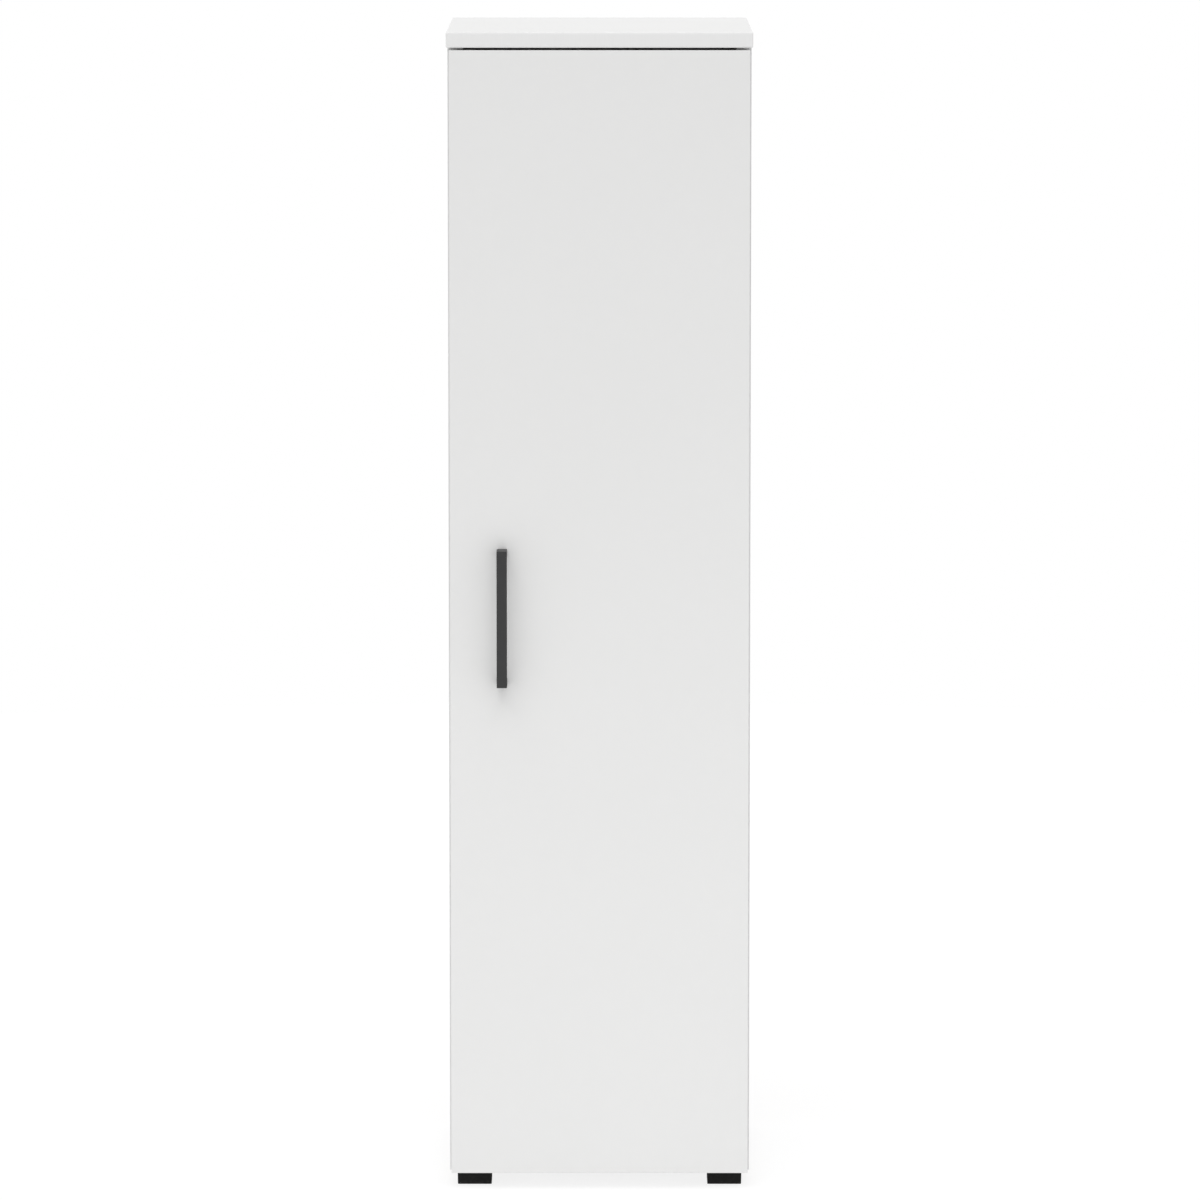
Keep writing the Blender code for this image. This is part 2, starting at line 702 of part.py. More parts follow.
def hinge_point(point, height):
    """A point of a hinge's frame, in the cabinet's."""
    return hinge_frame(height) @ Vector((*point, 0))


def ear_places():
    """The screws in a hinge cup's ears, in the hinge's frame."""
    x = cup_centre().x + CUP_EAR_OFFSET
    return [(x, -CUP_EAR_SPREAD / 2), (x, CUP_EAR_SPREAD / 2)]


def door_bores():
    """Cup and screw holes of each hinge, and the handle's screw holes."""
    centre = cup_centre()
    bores = [rod(centre - Y_AXIS * OVERRUN, centre + Y_AXIS * CUP_BORE_DEPTH, CUP_BORE_RADIUS,
                 CUP_SIDES)]
    for x, z in ear_places():
        bores.append(rod((x, 0, z), (x, DOOR_GAP + CUP_SCREW_LENGTH, z),
                         CUP_SCREW_RADIUS + CLEARANCE, BORE_SIDES))
    cutters = [moved(bore, hinge_frame(height)) for height in hinge_heights.values()
               for bore in bores]
    for z in handle_screws_z:
        cutters.append(rod((handle_x, door_front_y - OVERRUN, z), (handle_x, door_back_y + OVERRUN, z),
                           HANDLE_SCREW_RADIUS + CLEARANCE, BORE_SIDES))
    return cutters


def make_door(axis):
    """The door leaf."""
    leaf = rounded(box((-door_half_width, door_front_y, door_bottom_z),
                       (door_half_width, door_back_y, door_top_z)), DOOR_ROUNDING)
    mesh = combined(leaf, cut=[gathered(door_bores())])
    place_from_cabinet("door_panel", mesh, white_board, (0, door_back_y, door_bottom_z), axis)


def make_handle(axis):
    """A bow handle: a straight bar with a square post at each end."""
    half = (HANDLE_SPACING + HANDLE_BAR) / 2
    inner = half - HANDLE_BAR
    foot_y = CLEARANCE
    bar_y = HANDLE_PROJECTION - HANDLE_BAR
    corner = HANDLE_INNER_RADIUS
    outline = [(-half, foot_y), (-inner, foot_y),
               *arc((corner - inner, bar_y - corner), corner, math.pi, math.pi / 2),
               *arc((inner - corner, bar_y - corner), corner, math.pi / 2, 0),
               (inner, foot_y), (half, foot_y), (half, HANDLE_PROJECTION), (-half, HANDLE_PROJECTION)]
    bow = rounded(outline_prism(outline, -HANDLE_WIDTH / 2, HANDLE_WIDTH / 2), HANDLE_EDGE)
    bores = [rod((x, -OVERRUN, 0), (x, HANDLE_SCREW_GRIP + CLEARANCE, 0),
                 HANDLE_SCREW_RADIUS + CLEARANCE, BORE_SIDES)
             for x in (-HANDLE_SPACING / 2, HANDLE_SPACING / 2)]
    mesh = combined(bow, cut=bores)
    place("handle", mesh, black_metal, (handle_x, door_front_y, door_middle_z),
          (math.pi, -math.pi / 2, 0), axis)
    length = BOARD + HANDLE_SCREW_GRIP
    screw = screw_mesh(HANDLE_SCREW_RADIUS, length, HANDLE_SCREW_HEAD_RADIUS,
                       HANDLE_SCREW_HEAD_HEIGHT)
    for name, z in zip(("lower", "upper"), handle_screws_z):
        place(f"handle_screw_{name}", screw, plated_steel, (handle_x, door_back_y + CLEARANCE, z),
              (math.pi / 2, 0, 0), axis)


def make_bumpers(axis):
    """Soft buttons that take up the gap between the door and the left side."""
    x = BOARD / 2 - case_half_width
    thickness = DOOR_GAP - 2 * CLEARANCE
    button = rod((0, 0, 0), (0, thickness, 0), BUMPER_RADIUS, HEAD_SIDES)
    for name, z in (("lower", door_bottom_z + BUMPER_INSET), ("upper", door_top_z - BUMPER_INSET)):
        place(f"door_bumper_{name}", button, clear_rubber, (x, door_back_y + CLEARANCE, z),
              parent=axis)


# Hinges

eye_radius = PIN_RADIUS + CLEARANCE + EYE_WALL
rear_cheek_low = FRONT_LINK_HALF + LINK_GAP
rear_cheek_high = rear_cheek_low + REAR_CHEEK
arm_half_inner = rear_cheek_high + CLEARANCE
arm_half = arm_half_inner + ARM_CHEEK


def upright(point, low, high, radius, sides=PIN_SIDES):
    """A rod along the hinge's z at a point of its x and y."""
    return rod((*point, low), (*point, high), radius, sides)


def about(mesh, point):
    """A hinge shape with its origin moved to a point of the hinge's frame."""
    return moved(mesh, Matrix.Translation(-Vector((*point, 0))))


def cup_mesh():
    """The cup pressed into the door, with its rim, ears, screws and pivot pins."""
    centre = cup_centre()
    outer = CUP_BORE_RADIUS - CLEARANCE
    inner = outer - CUP_WALL
    in_wall = outer - CUP_WALL / 2
    depth = CUP_BORE_DEPTH - CLEARANCE
    rim = outer + CUP_RIM_WIDTH
    rim_low = -CLEARANCE
    rim_high = rim_low - CUP_FLANGE
    lap = CUP_FLANGE / 5
    shell = moved(turned([(0, depth), (outer, depth), (outer, rim_low), (rim, rim_low),
                          (rim, rim_high), (inner, rim_high), (inner, depth - CUP_WALL),
                          (0, depth - CUP_WALL)], CUP_SIDES),
                  frame_at(centre, (-math.pi / 2, 0, 0)))
    ear_y = (centre.y + rim_high + lap / 2, centre.y + rim_low - lap / 2)
    ear_x = centre.x + CUP_EAR_OFFSET
    ear_half = (CUP_EAR_SPREAD + CUP_EAR_WIDTH) / 2
    mouth = rod((centre.x, ear_y[0] - OVERRUN, 0), (centre.x, ear_y[1] + OVERRUN, 0), in_wall,
                CUP_SIDES)
    ears = combined(box((ear_x - CUP_EAR_WIDTH / 2, ear_y[0], -ear_half),
                        (ear_x + CUP_EAR_WIDTH / 2, ear_y[1], ear_half)), cut=[mouth])
    notch = box((centre.x - 2 * outer, centre.y + rim_high - OVERRUN, -rim),
                (CUP_REAR_PIVOT[0] + 2 * eye_radius + CLEARANCE, centre.y + rim_low - lap, rim))
    stub_end = rear_cheek_low - CLEARANCE
    core = rod((centre.x, centre.y - depth, 0), (centre.x, centre.y + depth, 0), in_wall, CUP_SIDES)
    pins = combined(upright(CUP_FRONT_PIVOT, -outer, outer, PIN_RADIUS),
                    joined=[upright(CUP_REAR_PIVOT, -outer, -stub_end, PIN_RADIUS),
                            upright(CUP_REAR_PIVOT, stub_end, outer, PIN_RADIUS)], within=[core])
    screw = screw_mesh(CUP_SCREW_RADIUS, CUP_SCREW_LENGTH, CUP_SCREW_HEAD_RADIUS,
                       CUP_SCREW_HEAD_HEIGHT + lap)
    screws = [moved(screw, frame_at((x, ear_y[0] + lap, z), (-math.pi / 2, 0, 0)))
              for x, z in ear_places()]
    return combined(combined(shell, cut=[notch]), joined=[ears, pins, *screws])


def rear_link_mesh():
    """Two cheeks joined by a sleeve round the arm's rear pin."""
    spine = bent_spine(ARM_REAR_PIVOT, CUP_REAR_PIVOT, REAR_LINK_BEND_SHARES)
    outline = bar_outline(spine, REAR_LINK_HALF_WIDTH)
    sleeve = upright(ARM_REAR_PIVOT, -rear_cheek_high, rear_cheek_high, eye_radius, EYE_SIDES)
    cheeks = []
    for low in (-rear_cheek_high, rear_cheek_low):
        cheeks.append(outline_prism(outline, low, low + REAR_CHEEK))
        cheeks.append(upright(CUP_REAR_PIVOT, low, low + REAR_CHEEK, eye_radius, EYE_SIDES))
    reach = rear_cheek_high + OVERRUN
    bores = [upright(point, -reach, reach, PIN_RADIUS + CLEARANCE)
             for point in (ARM_REAR_PIVOT, CUP_REAR_PIVOT)]
    return about(combined(sleeve, joined=cheeks, cut=bores), ARM_REAR_PIVOT)


def front_link_mesh():
    """A bent bar with an eye on the cup's pin and a slotted fork round the arm's tongue."""
    spine = bent_spine(ARM_FRONT_PIVOT, CUP_FRONT_PIVOT, FRONT_LINK_BEND_SHARES)
    bar = outline_prism(bar_outline(spine, FRONT_LINK_HALF_WIDTH), -FRONT_LINK_HALF, FRONT_LINK_HALF)
    eye = upright(CUP_FRONT_PIVOT, -FRONT_LINK_HALF, FRONT_LINK_HALF, eye_radius, EYE_SIDES)
    along = Vector((math.cos(SLOT_ANGLE), math.sin(SLOT_ANGLE))) * (SLOT_HALF_LENGTH - SLOT_HALF_WIDTH)
    middle = Vector(ARM_FRONT_PIVOT)
    slot = [middle - along, middle + along]
    fork = outline_prism(bar_outline(slot, SLOT_HALF_WIDTH + SLOT_WALL), -FRONT_LINK_HALF,
                         FRONT_LINK_HALF)
    reach = FRONT_LINK_HALF + OVERRUN
    cutters = [outline_prism(bar_outline(slot, SLOT_HALF_WIDTH), -reach, reach),
               upright(CUP_FRONT_PIVOT, -reach, reach, PIN_RADIUS + CLEARANCE),
               upright(ARM_FRONT_PIVOT, -TONGUE_HALF - CLEARANCE, TONGUE_HALF + CLEARANCE,
                       FORK_RADIUS, EYE_SIDES)]
    return about(combined(bar, joined=[eye, fork], cut=cutters), CUP_FRONT_PIVOT)


def arm_outline(web):
    """The arm from the side, lowered by the thickness of its web for the hollow in it."""
    pivot = ARM_REAR_PIVOT
    hollow = OVERRUN if web else 0
    rear_y = -ARM_LENGTH - hollow
    front_y = -ARM_FRONT_REACH + hollow
    low_x = ARM_UNDERSIDE - hollow
    return [(low_x, rear_y), (ARM_REAR_TOP - web, rear_y), (ARM_REAR_TOP - web, -ARM_STEP_START),
            (ARM_FRONT_TOP - web, -ARM_STEP_END), (ARM_FRONT_TOP - web, front_y),
            (pivot[0], front_y),
            *arc(pivot, ARM_NOSE + hollow, math.pi * 3 / 4, math.pi),
            (pivot[0] - ARM_NOSE - hollow, -ARM_STEP_END), (low_x, -ARM_STEP_START)]


def arm_mesh():
    """A channel over the plate, with a stepped web, a rear pin and a tongue for the front pin."""
    channel = outline_prism(arm_outline(0), -arm_half, arm_half)
    hollow = outline_prism(arm_outline(ARM_CHEEK), -arm_half_inner, arm_half_inner)
    screw_hole = rod((ARM_UNDERSIDE, -HOLE_ROW_INSET, 0), (ARM_REAR_TOP + OVERRUN, -HOLE_ROW_INSET, 0),
                     ARM_SCREW_RADIUS + CLEARANCE)
    folded = combined(channel, cut=[hollow, screw_hole])
    tongue = outline_prism(bar_outline([TONGUE_ROOT, TONGUE_ELBOW, ARM_FRONT_PIVOT], TONGUE_WIDTH / 2),
                           -TONGUE_HALF, TONGUE_HALF)
    rivet = upright(ARM_REAR_PIVOT, -arm_half - RIVET_HEAD, arm_half + RIVET_HEAD, PIN_RADIUS)
    front_pin = upright(ARM_FRONT_PIVOT, -FRONT_LINK_HALF, FRONT_LINK_HALF, TONGUE_PIN_RADIUS)
    return combined(folded, joined=[tongue, rivet, front_pin])


def plate_mesh():
    """The plate on the side: two wings with their screws, and a block for the arm."""
    side_x = HINGE_FRAME_INSET - (BOARD - DOOR_REVEAL) + CLEARANCE
    middle_y = -HOLE_ROW_INSET
    half_height = PLATE_HEIGHT / 2
    half_width = PLATE_WIDTH / 2
    base_x = PLATE_TOP
    wings = box((0, middle_y - half_width, -half_height), (base_x, middle_y + half_width, half_height))
    shape = bmesh.new()
    shape.from_mesh(wings)
    corners = [edge for edge in shape.edges
               if abs(edge.verts[0].co.x - edge.verts[1].co.x) > base_x / 2]
    bmesh.ops.bevel(shape, geom=corners, offset=PLATE_CORNER, segments=2, profile=0.5,
                    affect="EDGES")
    stretch = (base_x - side_x) / base_x
    bmesh.ops.scale(shape, vec=(stretch, 1, 1), verts=shape.verts)
    bmesh.ops.translate(shape, vec=X_AXIS * side_x, verts=shape.verts)
    block_y = PLATE_BLOCK_LENGTH / 2
    block = box((base_x - CLEARANCE, middle_y - block_y, CLEARANCE - arm_half_inner),
                (ARM_REAR_TOP - ARM_CHEEK - CLEARANCE, middle_y + block_y,
                 arm_half_inner - CLEARANCE))
    screw = screw_mesh(PLATE_SCREW_RADIUS, base_x - side_x + PLATE_SCREW_LENGTH,
                       PLATE_SCREW_HEAD_RADIUS, PLATE_SCREW_HEAD_HEIGHT)
    screws = [moved(screw, frame_at((base_x - CLEARANCE, middle_y, z), (0, -math.pi / 2, 0)))
              for z in (-PLATE_SCREW_SPACING / 2, PLATE_SCREW_SPACING / 2)]
    bore = rod((side_x - OVERRUN, middle_y, 0), (ARM_REAR_TOP, middle_y, 0),
               ARM_SCREW_RADIUS + CLEARANCE)
    return combined(mesh_of(shape), joined=[block, *screws], cut=[bore])


def make_hinges(door_axis):
    """Three hinges: plate, arm and its screw on the side, cup on the door, two links between."""
    plate = plate_mesh()
    arm = arm_mesh()
    screw_length = ARM_CHEEK + ARM_SCREW_GRIP
    arm_screw = screw_mesh(ARM_SCREW_RADIUS, screw_length, ARM_SCREW_HEAD_RADIUS,
                           ARM_SCREW_HEAD_HEIGHT)
    rear_link = rear_link_mesh()
    front_link = front_link_mesh()
    cup = about(cup_mesh(), CUP_REAR_PIVOT)
    half_turn = (0, 0, math.pi)
    for name, height in hinge_heights.items():
        place(f"hinge_plate_{name}", plate, plated_steel, hinge_point((0, 0), height), half_turn)
        place(f"hinge_arm_{name}", arm, plated_steel, hinge_point((0, 0), height), half_turn)
        place(f"hinge_arm_screw_{name}", arm_screw, plated_steel,
              hinge_point((ARM_REAR_TOP + CLEARANCE, -HOLE_ROW_INSET), height),
              (0, math.pi / 2, 0))
        place(f"hinge_rear_link_{name}", rear_link, plated_steel,
              hinge_point(ARM_REAR_PIVOT, height), half_turn)
        place(f"hinge_front_link_{name}", front_link, plated_steel,
              hinge_point(CUP_FRONT_PIVOT, height), half_turn)
        place(f"hinge_cup_{name}", cup, plated_steel, hinge_point(CUP_REAR_PIVOT, height),
              half_turn, door_axis)


def make_door_axis():
    """An empty on the axis that the door turns about on its links."""
    axis = bpy.data.objects.new("door_axis", None)
    cabinet.objects.link(axis)
    axis.location = hinge_point(CUP_REAR_PIVOT, 0)
    return axis


make_side("left", -1)
make_side("right", 1)
make_top()
make_level_board("bottom_panel", "bottom", case_bottom_z, 0, [back_slot(), *foot_screw_bores()])
make_level_board("fixed_shelf", "shelf", fixed_shelf_z, FIXED_SHELF_SETBACK)
make_loose_shelf("adjustable_shelf_lower", lower_shelf_z)
make_loose_shelf("adjustable_shelf_upper", upper_shelf_z)
make_back()
make_supports()
make_connectors()
make_feet()
hinge_axis = make_door_axis()
make_door(hinge_axis)
make_handle(hinge_axis)
make_bumpers(hinge_axis)
make_hinges(hinge_axis)
bpy.context.view_layer.update()
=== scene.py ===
# %% [markdown]
# # A tall white cabinet, dressed for the camera
#
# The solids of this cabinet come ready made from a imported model. They are exact in size and in how they
# move, and plain to look at. This lesson leaves them where they are and gives them finer shapes and real
# finishes: melamine on chipboard, hardboard, powder coat, moulded plastic, plated steel and cast zinc.
#
# All lengths are in metres. Every piece is made at its own place in the cabinet, so nothing is fitted later.

# %% Load the fixed frame
import math

import bmesh
import bpy
from mathutils import Matrix, Vector


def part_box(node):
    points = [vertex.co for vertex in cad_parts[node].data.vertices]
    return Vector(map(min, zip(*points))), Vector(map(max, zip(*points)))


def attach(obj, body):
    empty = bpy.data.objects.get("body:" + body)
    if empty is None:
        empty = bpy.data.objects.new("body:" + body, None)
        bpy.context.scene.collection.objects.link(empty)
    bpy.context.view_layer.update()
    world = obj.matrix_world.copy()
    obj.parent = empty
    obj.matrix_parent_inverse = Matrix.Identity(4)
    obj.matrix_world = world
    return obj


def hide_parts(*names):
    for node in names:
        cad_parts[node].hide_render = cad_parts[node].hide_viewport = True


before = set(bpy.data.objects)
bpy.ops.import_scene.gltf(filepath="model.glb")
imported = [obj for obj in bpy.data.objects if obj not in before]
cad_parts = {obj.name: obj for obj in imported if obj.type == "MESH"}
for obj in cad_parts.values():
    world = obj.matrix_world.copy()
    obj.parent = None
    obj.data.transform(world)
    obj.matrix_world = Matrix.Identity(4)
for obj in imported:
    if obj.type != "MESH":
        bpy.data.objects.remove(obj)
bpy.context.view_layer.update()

# %% [markdown]
# ## Camera
#
# The photograph is taken from far away with a long lens, a little above the top board, so that the board's
# upper face shows as a thin strip and the sides stay nearly upright. The camera could stand level and shift
# its picture down, but a shift stays when it moves to another view. So it looks down a little instead, from
# where the corners of the top board, the door, the handle and the feet fall on those of the photograph.

# %% Set up the camera
CAMERA_PLACE = (0.0006, -9.1855, 1.859)
CAMERA_PITCH = math.radians(7.102)  # down from level
CAMERA_LENS = 221.1  # mm

bpy.ops.object.select_all(action="DESELECT")
bpy.ops.object.camera_add(location=CAMERA_PLACE, rotation=(math.pi / 2 - CAMERA_PITCH, 0, 0))
camera = bpy.context.object
camera.name = "photo_camera"
camera.data.lens = CAMERA_LENS
bpy.context.scene.camera = camera
print("camera at", CAMERA_PLACE, "with a lens of", CAMERA_LENS, "mm")

# %% [markdown]
# ## Shader sums as Python sums
#
# A finish is a small tree of nodes. Wiring it by hand hides the idea behind the finish, so a socket is
# wrapped in a class that knows how to be added, subtracted and multiplied. A sum of two such values adds the
# Math node that it needs. All other nodes come from one method, which takes the settings first and then the
# sockets.

# %% Wrap sockets and trees
class Value:
    """A socket that can be used in a sum like a number."""

    def __init__(self, recipe, socket):
        self.recipe = recipe
        self.socket = socket

    def maths(self, operation, first, second=0.0):
        return self.recipe.node("Math", {"operation": operation}, {0: first, 1: second})

    def __add__(self, other):
        return self.maths("ADD", self, other)

    def __sub__(self, other):
        return self.maths("SUBTRACT", self, other)

    def __rsub__(self, other):
        return self.maths("SUBTRACT", other, self)

    def __mul__(self, other):
        return self.maths("MULTIPLY", self, other)

    def __lt__(self, other):
        return self.maths("LESS_THAN", self, other)

    def __or__(self, other):
        return self.maths("MAXIMUM", self, other)

    __radd__ = __add__
    __rmul__ = __mul__

    def sine(self):
        return self.maths("SINE", self)

    def window(self, low, high):
        """How far the value is from low to high, from 0 to 1 and eased at both ends."""
        sockets = {"Value": self, "From Min": low, "From Max": high}
        return self.recipe.node("MapRange", {"interpolation_type": "SMOOTHSTEP"}, sockets)


class Recipe:
    """A shader tree that is built one node at a time."""

    def __init__(self, tree):
        self.tree = tree

    def node(self, kind, settings=None, sockets=None, output=0):
        """Add a node with its settings, then the values or links of its sockets."""
        made = self.tree.nodes.new("ShaderNode" + kind)
        for name, value in (settings or {}).items():
            setattr(made, name, value)
        for key, value in (sockets or {}).items():
            if isinstance(value, Value):
                self.tree.links.new(value.socket, made.inputs[key])
            else:
                made.inputs[key].default_value = value
        return Value(self, made.outputs[output])


print("sockets can be added, subtracted, multiplied and compared")

# %% Describe a finish
class Finish(Recipe):
    """A material with one Principled shader. What is the same all over sits on the shader's own sockets."""

    def __init__(self, name, slot, **constants):
        self.material = bpy.data.materials.new(name)
        self.material.use_nodes = True
        super().__init__(self.material.node_tree)
        self.shader = self.tree.nodes["Principled BSDF"]
        self.slot = slot
        self.place = self.node("TexCoord", output="Object")
        for socket, value in constants.items():
            self.feed(socket.replace("_", " "), value)

    def feed(self, socket, value):
        """Link a value to a socket of the shader, or set it there."""
        if isinstance(value, Value):
            self.tree.links.new(value.socket, self.shader.inputs[socket])
        else:
            self.shader.inputs[socket].default_value = value

    def stretched(self, scale):
        """The place on the object, with each axis stretched by its own amount."""
        return self.node("Mapping", sockets={"Vector": self.place, "Scale": scale})

    def noise(self, scale, detail=2.0, place=None):
        """Cloudy noise, with this many clouds to the metre."""
        sockets = {"Vector": place or self.place, "Scale": scale, "Detail": detail}
        return self.node("TexNoise", sockets=sockets)

    def cells(self, scale, place=None):
        """A number from 0 to 1 for each of many cells, with this many cells to the metre."""
        sockets = {"Vector": place or self.place, "Scale": scale}
        colour = self.node("TexVoronoi", sockets=sockets, output="Color")
        return self.node("SeparateColor", sockets={0: colour})

    def blend(self, share, first, second):
        """A colour between two others. Each is a value, or linear red, green and blue."""
        first, second = (item if isinstance(item, Value) else (*item, 1) for item in (first, second))
        return self.node("Mix", {"data_type": "RGBA"}, {0: share, 6: first, 7: second}, output=2)

    def tint(self, share, first, second):
        """Give the surface a colour between two others."""
        self.feed("Base Color", self.blend(share, first, second))

    def relief(self, height, depth):
        """Raise and sink the surface by a height from 0 to 1, as deep as depth in metres."""
        self.feed("Normal", self.node("Bump", sockets={"Height": height, "Distance": depth}))


print("a finish has noise, cells, blends and relief")

# %% [markdown]
# ## Floor and light
#
# A white product stands on white paper in an even, soft light. The floor could be lit until it clips, but
# then the cabinet would clip with it. So the light stays at a level where a colour looks as it is written,
# and the floor and the surroundings are paper white only to the camera and to reflections. About a fifth of
# what the camera sees of the floor still comes from the light that falls on it, which keeps a soft shadow.

# %% Tell what is seen from what gives light
def shown(recipe):
    """1 for what the camera sees, straight, in gloss or through glass, and 0 for the light that falls."""
    camera_ray, glossy_ray, clear_ray = (recipe.node("LightPath", output=f"Is {kind} Ray")
                                         for kind in ("Camera", "Glossy", "Transmission"))
    return camera_ray | glossy_ray | clear_ray


print("what is seen can be made whiter than what gives light")

# %% Make the floor
FLOOR_RADIUS = 4.2
WHITE = (1, 1, 1, 1)
PAPER_GLOW = 1.08  # of the paper to the camera, where 1 is white
GLOW_SHARE = 0.78  # of that glow in the paper that the camera sees

bpy.ops.mesh.primitive_circle_add(vertices=96, radius=FLOOR_RADIUS, fill_type="NGON")
floor = bpy.context.object
floor.name = "paper_floor"

paper = Finish("pale_paper", None, Roughness=0.9)
paper.tint(paper.noise(14, 3), (0.80, 0.80, 0.80), (0.83, 0.83, 0.83))
paper.relief(paper.noise(350), 0.00008)
glow = paper.node("Emission", sockets={"Color": WHITE, "Strength": PAPER_GLOW})
lit = Value(paper, paper.shader.outputs[0])
both = paper.node("MixShader", sockets={0: shown(paper) * GLOW_SHARE, 1: lit, 2: glow})
paper.tree.links.new(both.socket, paper.tree.nodes["Material Output"].inputs["Surface"])
floor.data.materials.append(paper.material)
print("floor", round(2 * FLOOR_RADIUS, 2), "m across")

# %% Light it from all round
SKY_LEVEL = 0.755

world = bpy.data.worlds.new("white_surroundings")
bpy.context.scene.world = world
world.use_nodes = True
world.node_tree.nodes.clear()
sky = Recipe(world.node_tree)
soft = sky.node("Background", sockets={"Color": WHITE, "Strength": SKY_LEVEL})
white = sky.node("Background", sockets={"Color": WHITE, "Strength": 1.0})
sky_mix = sky.node("MixShader", sockets={0: shown(sky), 1: soft, 2: white})
sky_output = world.node_tree.nodes.new("ShaderNodeOutputWorld")
world.node_tree.links.new(sky_mix.socket, sky_output.inputs["Surface"])
bpy.context.scene.view_settings.view_transform = "Standard"
print("surroundings give", SKY_LEVEL, "of white and look white")

# %% Hang a wide soft light and stand a low card
SUN_HEIGHT = math.radians(63)
SUN_SIDE = math.radians(-12)  # to the left of the camera
SUN_SPREAD = math.radians(50)  # a wide source has soft shadows
SUN_LEVEL = 1.02
CARD_PLACE = (0, -1.15, 0.12)
CARD_TILT = math.radians(88)  # from facing down, to face the door
CARD_SIZE = 0.8
CARD_POWER = 0.8  # W

ahead = math.cos(SUN_HEIGHT)
towards_sun = Vector((math.sin(SUN_SIDE) * ahead, -math.cos(SUN_SIDE) * ahead, math.sin(SUN_HEIGHT)))
bpy.ops.object.light_add(type="SUN", location=towards_sun * 5)
sun = bpy.context.object
sun.name = "soft_overhead_light"
sun.rotation_euler = towards_sun.to_track_quat("Z", "Y").to_euler()
sun.data.energy = SUN_LEVEL
sun.data.angle = SUN_SPREAD

bpy.ops.object.light_add(type="AREA", location=CARD_PLACE, rotation=(CARD_TILT, 0, 0))
card = bpy.context.object
card.name = "low_reflector_card"
card.data.size = CARD_SIZE
card.data.energy = CARD_POWER
card.visible_camera = False
print("soft light from", round(math.degrees(SUN_HEIGHT)), "degrees up and a low card in front")

# %% [markdown]
# ## White melamine, its edging and the board inside
#
# The boards are chipboard under a printed paper that is pressed on with melamine. The press plate leaves a
# fine pearl in the surface, finer than a millimetre. The long edges carry a plastic band that is glued on
# and scraped flush: a touch brighter and glossier, with faint chatter from the scraper. Where no one looks,
# at the rear, below and in the bores, the chips themselves show. A picture of each would need a file, and
# noise and cells at the right size give the same look from any distance.

# %% White melamine
melamine = Finish("white_melamine", "white_melamine_board")
tone = melamine.noise(3.0, 3) * 0.7 + melamine.noise(60) * 0.3
melamine.tint(tone, (0.785, 0.785, 0.780), (0.815, 0.815, 0.811))
melamine.feed("Roughness", 0.40 + melamine.noise(9, 4) * 0.10 + melamine.noise(700, 1) * 0.06)
melamine.relief(melamine.noise(1100, 2) * 0.7 + melamine.noise(260, 1) * 0.3, 0.00002)
print("melamine:", len(melamine.tree.nodes), "nodes")

# %% White edging
edging = Finish("white_edging", "white_melamine_board")
scrape = edging.noise(40, 2, edging.stretched((30, 30, 1)))
edging.tint(scrape, (0.80, 0.80, 0.797), (0.83, 0.83, 0.828))
edging.feed("Roughness", 0.30 + scrape * 0.14)
edging.relief(scrape * 0.6 + edging.noise(900, 1) * 0.4, 0.000008)
print("edging:", len(edging.tree.nodes), "nodes")

# %% Bare chipboard
chipboard = Finish("bare_chipboard", "white_melamine_board")
chips = chipboard.cells(420, chipboard.stretched((1.0, 0.7, 0.45)))
crumbs = chipboard.cells(1300)
pores = chipboard.noise(900, 3).window(0.56, 0.66)
wood = chipboard.blend(chips, (0.36, 0.25, 0.15), (0.62, 0.48, 0.32))
wood = chipboard.blend(crumbs * 0.45, wood, (0.50, 0.37, 0.23))
chipboard.tint(pores * 0.75, wood, (0.17, 0.11, 0.07))
chipboard.feed("Roughness", 0.85 + pores * 0.1)
chipboard.relief(chips * 0.5 + crumbs * 0.3 - pores * 0.8, 0.00035)
print("chipboard:", len(chipboard.tree.nodes), "nodes")

# %% Beech dowels
beech = Finish("beech", "white_melamine_board", Roughness=0.6)
grain = beech.noise(30, 4, beech.stretched((1, 25, 25)))
beech.tint(grain, (0.50, 0.34, 0.19), (0.72, 0.54, 0.35))
beech.relief(grain, 0.00008)
print("beech:", len(beech.tree.nodes), "nodes")

# %% [markdown]
# ## Hardboard
#
# The back is hardboard, three millimetres thick. Its front face is lacquered white like the inside of the
# cabinet. Its rear face is bare brown fibre with the print of the wire screen that it was pressed on. The
# solid is right as it is, a flat sheet in its grooves, so it stays, and the finish tells the two faces
# apart by which way they look.

# %% Hardboard, white inside and brown behind
SCREEN_PITCH = 0.0016

hardboard = Finish("hardboard", "brown_hardboard")
looks = hardboard.node("SeparateXYZ", sockets={0: hardboard.node("TexCoord", output="Normal")}, output="Y")
lacquered = looks < -0.5
across, up = (hardboard.node("SeparateXYZ", sockets={0: hardboard.place}, output=axis) for axis in "XZ")
wires = (across * (math.tau / SCREEN_PITCH)).sine() * (up * (math.tau / SCREEN_PITCH)).sine()
fibres = hardboard.noise(240, 5)
stains = hardboard.noise(7, 3)
brown = hardboard.blend(fibres, (0.17, 0.095, 0.045), (0.36, 0.225, 0.125))
brown = hardboard.blend(stains * 0.35, brown, (0.20, 0.12, 0.065))
lacquer = hardboard.blend(hardboard.noise(30, 3), (0.765, 0.765, 0.76), (0.80, 0.80, 0.795))
hardboard.tint(lacquered, brown, lacquer)
hardboard.feed("Roughness", 0.82 - lacquered * 0.34 - fibres * 0.06)
hardboard.relief((wires * 0.4 + fibres * 0.6) * (1 - lacquered * 0.94), 0.00012)
print("hardboard:", len(hardboard.tree.nodes), "nodes")

